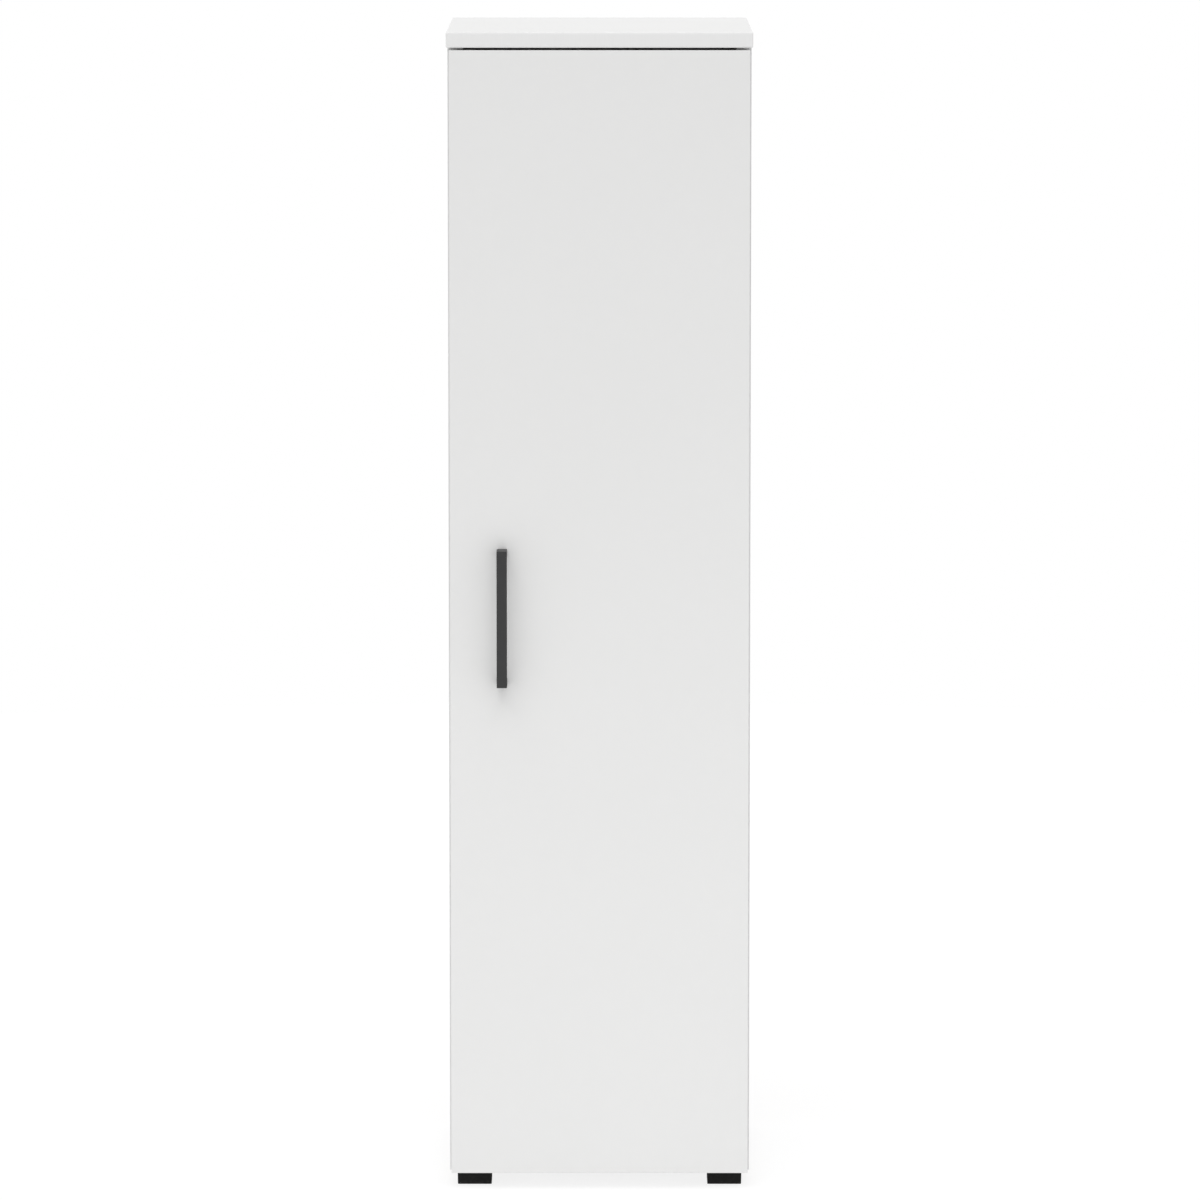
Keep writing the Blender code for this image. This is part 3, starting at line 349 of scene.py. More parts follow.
# %% [markdown]
# ## Black, plated and cast finishes
#
# The handle has a dark grey powder coat: melted powder that sets with a fine skin, a little lighter or
# darker in patches. The feet are moulded black plastic from a spark-eroded mould, which leaves an
# even matt grain, with some dust near the floor. The hinges are rolled steel with a nickel plate, and the
# connectors are cast zinc, duller and grainy. The bumpers are clear soft plastic.

# %% Powder coat on the handle
powder = Finish("dark_powder_coat", "black_painted_metal", Specular_IOR_Level=0.4)
skin = powder.noise(2600, 2)
thin = powder.noise(90, 3)
powder.tint(thin, (0.022, 0.022, 0.0225), (0.031, 0.031, 0.0315))
powder.feed("Roughness", 0.44 + skin * 0.12 + powder.noise(25, 2) * 0.06)
powder.relief(skin * 0.7 + powder.noise(700, 1) * 0.3, 0.00005)
print("powder coat:", len(powder.tree.nodes), "nodes")

# %% Moulded plastic of the feet
moulded = Finish("moulded_black_plastic", "black_plastic", Specular_IOR_Level=0.18)
height = moulded.node("SeparateXYZ", sockets={0: moulded.place}, output="Z")
dust = (1 - height.window(0.0005, 0.007)) * moulded.noise(300, 4).window(0.42, 0.62)
black = (0.0045, 0.0045, 0.0047)
moulded.tint(dust * 0.10, black, (0.20, 0.19, 0.18))
moulded.feed("Roughness", 0.52 + moulded.noise(500, 2) * 0.10 + dust * 0.2)
moulded.relief(moulded.cells(3200) * 0.5 + moulded.noise(1500, 2) * 0.5, 0.00003)
print("moulded plastic:", len(moulded.tree.nodes), "nodes")

# %% Plated steel
plate = Finish("nickel_plated_steel", "plated_steel", Metallic=1.0)
rolled = plate.noise(45, 3, plate.stretched((22, 22, 1)))
smudge = plate.noise(130, 4)
plate.tint(smudge, (0.56, 0.55, 0.54), (0.69, 0.685, 0.675))
plate.feed("Roughness", 0.20 + rolled * 0.12 + smudge * 0.10)
plate.relief(rolled * 0.7 + plate.noise(1800, 2) * 0.3, 0.000008)
print("plated steel:", len(plate.tree.nodes), "nodes")

# %% Cast zinc and clear plastic
zinc = Finish("cast_zinc_grain", "cast_zinc", Metallic=1.0)
casting = zinc.noise(1300, 4)
pits = zinc.cells(900).window(0.0, 0.12)
zinc.tint(casting, (0.37, 0.37, 0.365), (0.53, 0.53, 0.52))
zinc.feed("Roughness", 0.38 + casting * 0.22)
zinc.relief(casting * 0.6 + pits * 0.4, 0.00005)

clear = Finish("clear_soft_plastic", "clear_rubber", Transmission_Weight=0.45, IOR=1.46)
bloom = clear.noise(900, 3)
clear.tint(bloom, (0.62, 0.62, 0.60), (0.74, 0.74, 0.72))
clear.feed("Roughness", 0.25 + bloom * 0.25)
clear.relief(bloom, 0.00003)
print("zinc:", len(zinc.tree.nodes), "nodes, clear plastic:", len(clear.tree.nodes), "nodes")

# %% [markdown]
# ## Working as by hand, in code
#
# Every new piece starts from a primitive at its place and is shaped in edit mode. An operator acts on all
# that is selected, and the loaded solids arrive selected, so each step first lets go of everything. Edges
# and faces are then picked in code by where they lie. What the pieces share is kept in a few helpers: a
# block, a rod, a turned shape that grows ring by ring as on a lathe, and a cut with a second shape.

# %% Pick things up and put them down
PLAY = 0.0003  # between pieces that touch, and the reach of a test for one place
X, Y, Z = range(3)


def let_go():
    """Select nothing."""
    bpy.ops.object.select_all(action="DESELECT")


def alone(piece):
    """Select one piece and nothing else."""
    let_go()
    piece.select_set(True)
    bpy.context.view_layer.objects.active = piece
    return piece


def edit(piece):
    """Take one piece into edit mode."""
    alone(piece)
    bpy.ops.object.mode_set(mode="EDIT")


def leave():
    """Go back to object mode."""
    bpy.ops.object.mode_set(mode="OBJECT")


def settle():
    """Bake the active piece's place and size into its mesh."""
    bpy.ops.object.transform_apply(location=True, rotation=True, scale=True)
    return bpy.context.object


def choose(piece, kind, test):
    """In edit mode, select just the vertices, edges or faces that pass a test."""
    bpy.ops.mesh.select_mode(type=kind)
    bpy.ops.mesh.select_all(action="DESELECT")
    shape = bmesh.from_edit_mesh(piece.data)
    found = {"VERT": shape.verts, "EDGE": shape.edges, "FACE": shape.faces}[kind]
    picked = [item for item in found if test(item)]
    for item in picked:
        item.select_set(True)
    bmesh.update_edit_mesh(piece.data)
    return len(picked)


def middle(item):
    """The middle of an edge or a face."""
    return sum((corner.co for corner in item.verts), Vector()) / len(item.verts)


def along(edge, axis):
    """Whether an edge runs along an axis, at least in part."""
    return abs(edge.verts[0].co[axis] - edge.verts[1].co[axis]) > PLAY


def face_outwards():
    """In edit mode, turn every face outwards, and go back to object mode."""
    bpy.ops.mesh.select_all(action="SELECT")
    bpy.ops.mesh.normals_make_consistent(inside=False)
    leave()


print("helpers for selecting are ready")

# %% Start from a block, a rod or a ring
def block(low, high):
    """A block between two opposite corners."""
    low, high = Vector(low), Vector(high)
    let_go()
    bpy.ops.mesh.primitive_cube_add(size=1, location=(low + high) / 2, scale=high - low)
    return settle()


def rod(start, end, radius, sides=32):
    """A round rod between two points."""
    start, end = Vector(start), Vector(end)
    turn = (end - start).to_track_quat("Z", "Y").to_euler()
    let_go()
    bpy.ops.mesh.primitive_cylinder_add(vertices=sides, radius=radius, depth=(end - start).length,
                                        location=(start + end) / 2, rotation=turn)
    return settle()


def turned(rings, sides=48):
    """A shape grown along z from a disc, ring by ring. Each ring is a radius and a height."""
    radius, height = rings[0]
    let_go()
    bpy.ops.mesh.primitive_circle_add(vertices=sides, radius=radius, fill_type="NGON",
                                      location=(0, 0, height))
    piece = settle()
    edit(piece)
    bpy.ops.mesh.select_mode(type="FACE")
    bpy.ops.mesh.select_all(action="SELECT")
    for wider, higher in rings[1:]:
        bpy.ops.mesh.extrude_region_move(TRANSFORM_OT_translate={"value": (0, 0, higher - height)})
        share = wider / radius
        bpy.ops.transform.resize(value=(share, share, 1), center_override=(0, 0, higher))
        radius, height = wider, higher
    face_outwards()
    return piece


print("blocks, rods and turned shapes can be started")

# %% Round, cut and join
def soften(piece, test, width, segments=3):
    """Round the edges that pass a test."""
    edit(piece)
    count = choose(piece, "EDGE", test)
    bpy.ops.mesh.bevel(offset=width, segments=segments, profile=0.5, affect="EDGES")
    leave()
    return count


def modified(piece, kind, **settings):
    """Apply one modifier with its settings."""
    alone(piece)
    bpy.ops.object.modifier_add(type=kind)
    modifier = piece.modifiers[-1]
    for name, value in settings.items():
        setattr(modifier, name, value)
    bpy.ops.object.modifier_apply(modifier=modifier.name)
    return piece


def soften_all(piece, width, segments=2, angle=math.radians(30)):
    """Round every edge that is sharper than an angle."""
    return modified(piece, "BEVEL", width=width, segments=segments, limit_method="ANGLE", angle_limit=angle,
                    use_clamp_overlap=True)


def join(pieces):
    """Several pieces as one object."""
    alone(pieces[0])
    for piece in pieces[1:]:
        piece.select_set(True)
    bpy.ops.object.join()
    return pieces[0]


def work(piece, tool, operation="DIFFERENCE"):
    """Cut a tool from a piece, or weld it on with UNION. The tool is used up."""
    modified(piece, "BOOLEAN", operation=operation, object=tool, solver="EXACT")
    bpy.data.objects.remove(tool)
    return piece


print("edges can be rounded and shapes cut and welded")

# %% Copy and finish
def copied(piece, place):
    """A copy with its own mesh, set at a place."""
    alone(piece)
    bpy.ops.object.duplicate(linked=False)
    copy = bpy.context.object
    copy.matrix_world = place
    return settle()


SMOOTH_BELOW = math.radians(35)


def finish_piece(piece, name, body, node, finishes):
    """Shade a piece, paint it, and let it stand for a node on its body."""
    edit(piece)
    face_outwards()
    bpy.ops.object.shade_smooth_by_angle(angle=SMOOTH_BELOW)
    modified(piece, "WEIGHTED_NORMAL", keep_sharp=True)
    if not piece.data.materials:
        for finish in finishes:
            piece.data.materials.append(finish.material)
    piece.name = name
    piece.data.name = name
    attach(piece, body)
    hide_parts(node)
    return piece


def set_out(pattern, places, name, body, node, finishes):
    """Set a finished copy of a pattern at each place, and remove the pattern. A word tells them apart."""
    for word, place in places.items():
        piece = finish_piece(copied(pattern, place), f"{name}_{word}", body, f"{node}_{word}", finishes)
    bpy.data.objects.remove(pattern)
    return piece


def shift(x, y, z, turn=(0, 0, 0)):
    """The matrix of a place and of turns about x, y and z."""
    x_turn, y_turn, z_turn = (Matrix.Rotation(angle, 4, axis) for angle, axis in zip(turn, "XYZ"))
    return Matrix.Translation((x, y, z)) @ (z_turn @ y_turn @ x_turn)


print("pieces can be copied and finished")

# %% [markdown]
# ## Where everything is
#
# The boards and their bores meet in many places. Rather than copy numbers, the lesson reads them from the
# boxes of the solids: the sides give the width of the case, the supports give the rows of holes, and the
# connectors give the rows of cams.

# %% Read the places from the solids
OVERRUN = 0.002  # of a cutter past the face that it opens

side_low, side_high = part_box("side_panel_right")
top_low, top_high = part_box("top_panel")
floor_low, floor_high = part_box("bottom_panel")
shelf_low, shelf_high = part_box("fixed_shelf")
back_low, back_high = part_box("back_panel")
door_low, door_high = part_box("door_panel")
inner_x, outer_x = side_low.x, side_high.x
board = outer_x - inner_x  # thickness
board_middle_x = (inner_x + outer_x) / 2


def centre(node):
    """The middle of a node's box."""
    low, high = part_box(node)
    return (low + high) / 2


pin_rows = [centre(f"shelf_support_lower_right_{row}").y for row in ("front", "rear")]
pin_heights = [centre(f"shelf_support_{shelf}_right_front").z for shelf in ("lower", "upper")]
cam_rows = [centre(f"cam_connector_bottom_right_{row}").y for row in ("front", "rear")]
hinge_heights = {name: centre(f"hinge_arm_{name}").z for name in ("lower", "middle", "upper")}
print("pins", [round(row, 4) for row in pin_rows], "cams", [round(row, 4) for row in cam_rows])
print("hinges at", [round(height, 4) for height in hinge_heights.values()])

# %% [markdown]
# ## The boards
#
# Each board is a block. The edges that carry the plastic band are rounded in three facets, finely on most
# boards and by almost two millimetres on the top board, and catch the light as a thin bright line. The faces
# are then told apart by place: what lies within the rounding of a banded edge is edging, what faces along
# the board's thickness is melamine, and the rest is bare chipboard. All bores of a board are cut at once
# with one joined tool that is painted as chipboard, so their walls come out bare.

# %% Saw, band and drill a board
SHARP = 0.0006  # rounding of most banded edges
ROUND = 0.0018  # rounding of the top board's edges
DOWEL_RADIUS = 0.004
DOWEL_CHAMFER = 0.0008
BOARD_FINISHES = (melamine, edging, chipboard, beech)
MELAMINE, EDGING, CHIPBOARD, BEECH = range(4)


def painted(piece, which):
    """Give a piece the finishes of the boards, all of it in one of them."""
    for finish in BOARD_FINISHES:
        piece.data.materials.append(finish.material)
    for face in piece.data.polygons:
        face.material_index = which
    return piece


def sawn_board(low, high, banded, rounding=SHARP):
    """A board with banded edges. Each banded edge is an axis and a side, -1 or 1."""
    piece = painted(block(low, high), CHIPBOARD)
    planes = [(axis, (high if side > 0 else low)[axis]) for axis, side in banded]

    def on_band(points, reach):
        """Whether all the points lie within reach of one banded plane."""
        return any(all(abs(point[axis] - plane) < reach for point in points) for axis, plane in planes)

    soften(piece, lambda edge: on_band([corner.co for corner in edge.verts], PLAY), rounding)
    thickness = min(range(3), key=lambda axis: high[axis] - low[axis])
    for face in piece.data.polygons:
        if on_band([face.center], rounding):
            face.material_index = EDGING
        elif abs(face.normal[thickness]) > 0.9:
            face.material_index = MELAMINE
    return piece


def drilled(piece, bores, slots=()):
    """Cut the bores, each a start, an end and a radius, and the slots, each two corners."""
    tools = [rod(start, end, radius) for start, end, radius in bores]
    tools += [block(low, high) for low, high in slots]
    return work(piece, painted(join(tools), CHIPBOARD))


def pegged(piece, pegs):
    """Add dowels with chamfered ends."""
    dowels = []
    for start, end in pegs:
        dowel = soften_all(rod(start, end, DOWEL_RADIUS), DOWEL_CHAMFER, 1, math.radians(60))
        dowels.append(painted(dowel, BEECH))
    return join([piece, *dowels])


print("boards can be sawn, drilled and pegged")

# %% The top board
HOLE_PITCH = 0.032  # between holes in a row, and from a cam to its dowel
GROOVE_DEPTH = 0.008
DOWEL_LENGTH = 0.010  # of the half that stands out of its board
DOWEL_HOLE = (DOWEL_RADIUS + PLAY, DOWEL_LENGTH + PLAY)  # radius and depth
BOLT_HOLE = (0.0028, 0.0113)

back_slot = ((-inner_x - GROOVE_DEPTH, back_low.y - PLAY, floor_high.z - GROOVE_DEPTH),
             (inner_x + GROOVE_DEPTH, back_high.y + PLAY, top_low.z + GROOVE_DEPTH))
dowel_rows = [cam_rows[0] + HOLE_PITCH, cam_rows[1] - HOLE_PITCH]

top_bores = []
for x in (-board_middle_x, board_middle_x):
    for rows, (radius, depth) in ((dowel_rows, DOWEL_HOLE), (cam_rows, BOLT_HOLE)):
        top_bores += [((x, row, top_low.z - OVERRUN), (x, row, top_low.z + depth), radius) for row in rows]
top_board = sawn_board(top_low, top_high, [(0, -1), (0, 1), (1, -1), (1, 1)], ROUND)
drilled(top_board, top_bores, [back_slot])
finish_piece(top_board, "top_board", "carcass", "top_panel", BOARD_FINISHES)
print("top board:", len(top_board.data.polygons), "faces")

# %% Plan the holes of a side
PIN_HOLE = (0.0028, 0.0083)
CAM_POCKET = (0.0075, 0.014)
CAM_REACH = 0.034  # from a cam's middle to the neighbouring board
CHANNEL = 0.0038  # radius of the bolt's channel, from the cam to that board
CHANNEL_START = 0.004  # from the cam's middle
PLATE_SCREW = 0.016  # of a hinge plate's screws, above and below its middle


def side_bores(side):
    """Holes for shelf pins, dowels, bolts, cams and hinge plates in one side."""
    bores = []

    def bore(row, z, hole):
        """A hole from the inner face."""
        radius, depth = hole
        bores.append(((side * (inner_x - OVERRUN), row, z), (side * (inner_x + depth), row, z), radius))

    for pin_z in pin_heights:
        for step in range(-2, 3):
            for row in pin_rows:
                bore(row, pin_z + step * HOLE_PITCH, PIN_HOLE)
    for z in (floor_low.z + board / 2, shelf_low.z + board / 2):
        for row in dowel_rows:
            bore(row, z, DOWEL_HOLE)
        for row in cam_rows:
            bore(row, z, BOLT_HOLE)
    x, cam_z = side * board_middle_x, top_low.z - CAM_REACH
    for row in cam_rows:
        bore(row, cam_z, CAM_POCKET)
        bores.append(((x, row, cam_z + CHANNEL_START), (x, row, top_low.z), CHANNEL))
    if side > 0:
        for height_z in hinge_heights.values():
            for step in (-1, 1):
                bore(pin_rows[0], height_z + step * PLATE_SCREW, BOLT_HOLE)
    return bores


print("a side has", len(side_bores(-1)), "holes on the left and", len(side_bores(1)), "on the right")

# %% The two sides
side_top = top_low.z - PLAY
for side, word in ((-1, "left"), (1, "right")):
    edges = sorted((side * inner_x, side * outer_x))
    low = Vector((edges[0], side_low.y, side_low.z))
    high = Vector((edges[1], side_high.y, side_top))
    piece = sawn_board(low, high, [(1, -1)])
    drilled(piece, side_bores(side), [back_slot])
    x = side * board_middle_x
    pegged(piece, [((x, row, side_top), (x, row, side_top + DOWEL_LENGTH)) for row in dowel_rows])
    finish_piece(piece, f"side_board_{word}", "carcass", f"side_panel_{word}", BOARD_FINISHES)
    print(word, "side:", len(piece.data.polygons), "faces")

# %% The bottom board and the fixed shelf
CAM_POCKET_TOP = 0.0045  # of the pocket from below, above the board's middle
SCREW_HOLE = (0.0023, 0.012)  # the depth is that of a foot's screw

foot_middles = {f"{row}_{word}": centre(f"foot_{row}_{word}")
                for row in ("front", "rear") for word in ("left", "right")}
for node, name, low_box, high_box in (("bottom_panel", "bottom_board", floor_low, floor_high),
                                      ("fixed_shelf", "fixed_shelf_board", shelf_low, shelf_high)):
    low = Vector((PLAY - inner_x, low_box.y, low_box.z))
    high = Vector((inner_x - PLAY, high_box.y, high_box.z))
    axis_z = (low.z + high.z) / 2
    bores, pegs = [], []
    for side in (-1, 1):
        cam_x, end_x = side * (inner_x - CAM_REACH), side * (inner_x - PLAY)
        channel_x = (cam_x + side * CHANNEL_START, end_x + side * OVERRUN)
        for row in cam_rows:
            pocket_top = (cam_x, row, axis_z + CAM_POCKET_TOP)
            bores.append(((cam_x, row, low.z - OVERRUN), pocket_top, CAM_POCKET[0]))
            bores.append(((channel_x[0], row, axis_z), (channel_x[1], row, axis_z), CHANNEL))
        pegs += [((end_x, row, axis_z), (end_x + side * DOWEL_LENGTH, row, axis_z)) for row in dowel_rows]
    if node == "bottom_panel":
        bores += [((spot.x, spot.y, low.z - OVERRUN), (spot.x, spot.y, low.z + SCREW_HOLE[1]), SCREW_HOLE[0])
                  for spot in foot_middles.values()]
    piece = sawn_board(low, high, [(1, -1)])
    drilled(piece, bores, [back_slot] if node == "bottom_panel" else [])
    pegged(piece, pegs)
    finish_piece(piece, name, "carcass", node, BOARD_FINISHES)
    print(name, len(piece.data.polygons), "faces")

# %% The two loose shelves
for word in ("lower", "upper"):
    low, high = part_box(f"adjustable_shelf_{word}")
    piece = sawn_board(low, high, [(0, -1), (0, 1), (1, -1)])
    finish_piece(piece, f"loose_shelf_{word}", "carcass", f"adjustable_shelf_{word}", BOARD_FINISHES)
    print(word, "loose shelf", [round(size, 4) for size in high - low])

# %% The back panel keeps its solid
back_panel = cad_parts["back_panel"]
for slot in back_panel.material_slots:
    slot.material = hardboard.material
print("back panel painted in", len(back_panel.material_slots), "slot, solid kept")

# %% [markdown]
# ## The door
#
# The door is the largest thing in the picture: one white board, banded all round, with three round pockets
# for the hinge cups at the back and two holes for the handle. It is sawn and banded like the others.

# %% Saw the door and drill it
DOOR_OVERLAY = 0.017  # of the door over the inner face of the side
CUP_BACK = 0.0045  # of a cup's middle from the side's inner face
CUP_POCKET = (0.0175, 0.013)
EAR_BACK = 0.0055  # of a cup's screws behind its middle
EAR_SCREW = 0.024  # of a cup's screws, above and below its middle
EAR_HOLE = (0.002, 0.011)
HANDLE_SPACING = 0.160

hinge_x = door_high.x - DOOR_OVERLAY
case_front = side_low.y
cup_x = hinge_x - CUP_BACK
handle_low, handle_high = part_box("handle")
handle_x, _, handle_z = (handle_low + handle_high) / 2
handle_screws = (handle_z - HANDLE_SPACING / 2, handle_z + HANDLE_SPACING / 2)

door_bores = []
for height_z in hinge_heights.values():
    places = [(cup_x, height_z, CUP_POCKET)]
    places += [(cup_x - EAR_BACK, height_z + step * EAR_SCREW, EAR_HOLE) for step in (-1, 1)]
    for x, z, (radius, depth) in places:
        door_bores.append(((x, door_high.y + OVERRUN, z), (x, door_high.y - depth, z), radius))
for z in handle_screws:
    door_bores.append(((handle_x, door_low.y - OVERRUN, z), (handle_x, door_high.y + OVERRUN, z),
                       SCREW_HOLE[0]))
door = sawn_board(door_low, door_high, [(0, -1), (0, 1), (2, -1), (2, 1)])
drilled(door, door_bores)
finish_piece(door, "door_leaf", "door", "door_panel", BOARD_FINISHES)
print("door:", len(door.data.polygons), "faces,", len(door_bores), "bores")

# %% [markdown]
# ## Screws
#
# All screws are turned: a domed pan head, a flat seat under it and a shank. The drive is a cross that gets
# narrower as it goes down, cut with two wedges. A screw is made once at the origin, head below and shank
# up, and set in place as a copy.

# %% Sink a cross
ARM_SHARE = 0.24  # width of a cross's arm, as a share of its span
TIP_SHARE = 0.45  # of the cross's tip, at the depth of the wedge


def cross_drive(piece, face_z, span, depth):
    """Sink a cross into a face that looks down at a height."""
    for wide, narrow in ((span, span * ARM_SHARE), (span * ARM_SHARE, span)):
        wedge = block((-wide / 2, -narrow / 2, face_z - depth), (wide / 2, narrow / 2, face_z + depth))
        edit(wedge)
        choose(wedge, "FACE", lambda face: face.normal.z > 0.9)
        bpy.ops.transform.resize(value=(TIP_SHARE, TIP_SHARE, 1), center_override=(0, 0, face_z + depth))
        leave()
        work(piece, wedge)
    return piece


print("a cross can be sunk into a head")

# %% Turn a screw
HEAD_PROFILE = ((0.50, 1), (0.78, 0.93), (0.93, 0.72), (1, 0.38), (1, 0))  # shares of radius and height


def pan_screw(radius, length, head_radius, head_height):
    """A screw with a domed head below z = 0 and its shank above."""
    head = [(head_radius * across, -head_height * up) for across, up in HEAD_PROFILE]
    shank = [(radius, 0), (radius, length - radius * 0.6), (radius * 0.45, length)]
    return cross_drive(turned(head + shank, 32), -head_height, head_radius * 1.15, head_height * 0.7)


print("screws can be turned")

# %% Screws of the handle and the feet
FOOT_SEAT = 0.012  # of a screw's head in its foot, above the floor

handle_screw = pan_screw(radius=0.002, length=0.029, head_radius=0.0042, head_height=0.0022)
places = {word: shift(handle_x, door_high.y + PLAY, z, (math.pi / 2, 0, 0))
          for word, z in zip(("lower", "upper"), handle_screws)}
set_out(handle_screw, places, "handle_bolt", "door", "handle_screw", [plate])

foot_screw = pan_screw(radius=0.002, length=0.020, head_radius=0.0042, head_height=0.003)
places = {word: shift(spot.x, spot.y, FOOT_SEAT - PLAY) for word, spot in foot_middles.items()}
set_out(foot_screw, places, "foot_bolt", "carcass", "foot_screw", [plate])
print("2 handle screws and 4 foot screws turned")

# %% [markdown]
# ## The handle
#
# The handle is a flat bar with a square post at each end, cut from one section. It could be built of three
# blocks, but then a seam would show. Instead one bar is cut near both ends with a plane, and the two end
# faces at the back are pulled out to the door. The inner corners get a wide rounding, as the bender leaves
# it, and then every edge a fine one.

# %% Pull the posts out of the bar
HANDLE_BAR = 0.009  # thickness of the bar and of its posts
INNER_ROUNDING = 0.003
HANDLE_EDGE = 0.0007
SOCKET_DEPTH = 0.0103

bar_back = handle_low.y + HANDLE_BAR
post_z = (HANDLE_SPACING - HANDLE_BAR) / 2  # of a post's inner face, from the middle of the handle
handle = block(handle_low, (handle_high.x, bar_back, handle_high.z))
edit(handle)
for cut_z in (handle_low.z + HANDLE_BAR, handle_high.z - HANDLE_BAR):
    bpy.ops.mesh.select_all(action="SELECT")
    bpy.ops.mesh.bisect(plane_co=(0, 0, cut_z), plane_no=(0, 0, 1))
choose(handle, "FACE", lambda face: face.normal.y > 0.9 and abs(middle(face).z - handle_z) > post_z)
bpy.ops.mesh.extrude_region_move(TRANSFORM_OT_translate={"value": (0, handle_high.y - bar_back, 0)})
leave()
corners = soften(handle, lambda edge: abs(middle(edge).y - bar_back) < PLAY
                 and abs(abs(middle(edge).z - handle_z) - post_z) < PLAY
                 and along(edge, X), INNER_ROUNDING, 8)
soften_all(handle, HANDLE_EDGE, 3, math.radians(50))
sockets = join([rod((handle_x, handle_high.y + OVERRUN, z), (handle_x, handle_high.y - SOCKET_DEPTH, z),
                    SCREW_HOLE[0]) for z in handle_screws])
work(handle, sockets)
finish_piece(handle, "bar_handle", "door", "handle", [powder])
print("handle:", len(handle.data.polygons), "faces,", corners, "inner corners")

# %% [markdown]
# ## The feet
#
# Each foot is a moulded block, a little narrower at the floor so that it leaves its mould. Under it a rim
# stands on the floor round a shallow field, and in the middle is the well of the screw. The upright corners
# are rounded first and then the outlines of the top and the bottom, so that the two roundings run together.

# %% Mould a foot
FOOT_DRAFT = 0.0004  # the foot narrows by this on each side, down to the floor
FOOT_CORNER = 0.002
FOOT_EDGE = 0.0005
FOOT_RIM = 0.0035
FIELD_DEPTH = 0.0012
FIELD_CORNER = 0.001
WELL_RADIUS = 0.006

foot_low, foot_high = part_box("foot_front_left")
foot_half = (foot_high.x - foot_low.x) / 2
foot_top = foot_high.z
foot = block((-foot_half, -foot_half, 0), (foot_half, foot_half, foot_top))
edit(foot)
choose(foot, "FACE", lambda face: face.normal.z < -0.9)
taper = (foot_half - FOOT_DRAFT) / foot_half
bpy.ops.transform.resize(value=(taper, taper, 1), center_override=(0, 0, 0))
leave()
soften(foot, lambda edge: along(edge, Z), FOOT_CORNER, 5)
soften_all(foot, FOOT_EDGE, 3, math.radians(50))
print("foot", round(2 * foot_half, 4), "m wide and", round(foot_top, 4), "m high")

# %% Hollow it and set four
field_half = foot_half - FOOT_RIM
field = block((-field_half, -field_half, -OVERRUN), (field_half, field_half, FIELD_DEPTH))
soften(field, lambda edge: along(edge, Z), FIELD_CORNER)
work(foot, field)
work(foot, rod((0, 0, -OVERRUN), (0, 0, FOOT_SEAT), WELL_RADIUS))
work(foot, rod((0, 0, FOOT_SEAT - OVERRUN), (0, 0, foot_top + OVERRUN), SCREW_HOLE[0]))
places = {word: shift(spot.x, spot.y, 0) for word, spot in foot_middles.items()}
last_foot = set_out(foot, places, "block_foot", "carcass", "foot", [moulded])
print("4 feet,", len(last_foot.data.polygons), "faces each")

# %% [markdown]
# ## Connectors, supports and bumpers
#
# A cam connector is a zinc drum with a cross in its face and a bolt that runs into the neighbouring board.
# Only the face of the drum shows, flush with the board. A shelf support is a folded steel angle on a pin.
# The bumpers are small clear domes.

# %% Cast a cam and its bolt
CAM_FACE = -0.0092  # of the drum's face, below the bolt's axis
CAM_CROSS, CAM_CROSS_DEPTH = 0.0085, 0.0028

drum = [(0.0060, CAM_FACE), (0.0070, -0.0089), (0.0072, -0.0084), (0.0072, 0.0034), (0.0064, 0.0042)]
cam = turned(drum, 40)
cross_drive(cam, CAM_FACE, CAM_CROSS, CAM_CROSS_DEPTH)
shank = [(0.0026, 0.004), (0.0035, 0.006), (0.0035, 0.0325), (0.0032, 0.0337), (0.0025, 0.0338)]
thread = [(0.0025, 0.0345), (0.0021, 0.0355), (0.0025, 0.0365), (0.0021, 0.0375), (0.0025, 0.0385),
          (0.0021, 0.0395), (0.0025, 0.0405), (0.0021, 0.0415), (0.0024, 0.0425), (0.0012, 0.0450)]
bolt = turned(shank + thread, 24)
alone(bolt)
bolt.matrix_world = shift(0, 0, 0, (0, math.pi / 2, 0))
settle()
work(cam, bolt, "UNION")
print("cam and bolt:", len(cam.data.polygons), "faces")

# %% Set twelve of them
places = {}
for side, word in ((-1, "left"), (1, "right")):
    flat_turn = 0 if side > 0 else math.pi
    cam_x, side_x = side * (inner_x - CAM_REACH), side * board_middle_x
    for row_word, row in zip(("front", "rear"), cam_rows):
        end = f"{word}_{row_word}"
        places[f"bottom_{end}"] = shift(cam_x, row, floor_low.z + board / 2, (0, 0, flat_turn))
        places[f"shelf_{end}"] = shift(cam_x, row, shelf_low.z + board / 2, (0, 0, flat_turn))
        side_turn = (0, -math.pi / 2, math.pi - flat_turn)
        places[f"top_{end}"] = shift(side_x, row, top_low.z - CAM_REACH, side_turn)
set_out(cam, places, "cam", "carcass", "cam_connector", [zinc])
print(len(places), "cam connectors")

# %% Copy a solid and soften it
SUPPORT_EDGE = 0.00025


def refined(node, width):
    """A copy of a node's solid, with its loose triangles merged into whole faces and its edges softened."""
    let_go()
    piece = bpy.data.objects.new("refined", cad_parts[node].data.copy())
    bpy.context.scene.collection.objects.link(piece)
    piece.data.materials.clear()
    edit(piece)
    bpy.ops.mesh.select_all(action="SELECT")
    bpy.ops.mesh.remove_doubles(threshold=0.000002)
    bpy.ops.mesh.dissolve_limited(angle_limit=math.radians(1))
    leave()
    return soften_all(piece, width, 2, math.radians(25))


for shelf_word in ("lower", "upper"):
    for word in ("left", "right"):
        for row_word in ("front", "rear"):
            end = f"{shelf_word}_{word}_{row_word}"
            node = f"shelf_support_{end}"
            finish_piece(refined(node, SUPPORT_EDGE), f"folded_support_{end}", "carcass", node, [plate])
print("8 shelf supports softened")

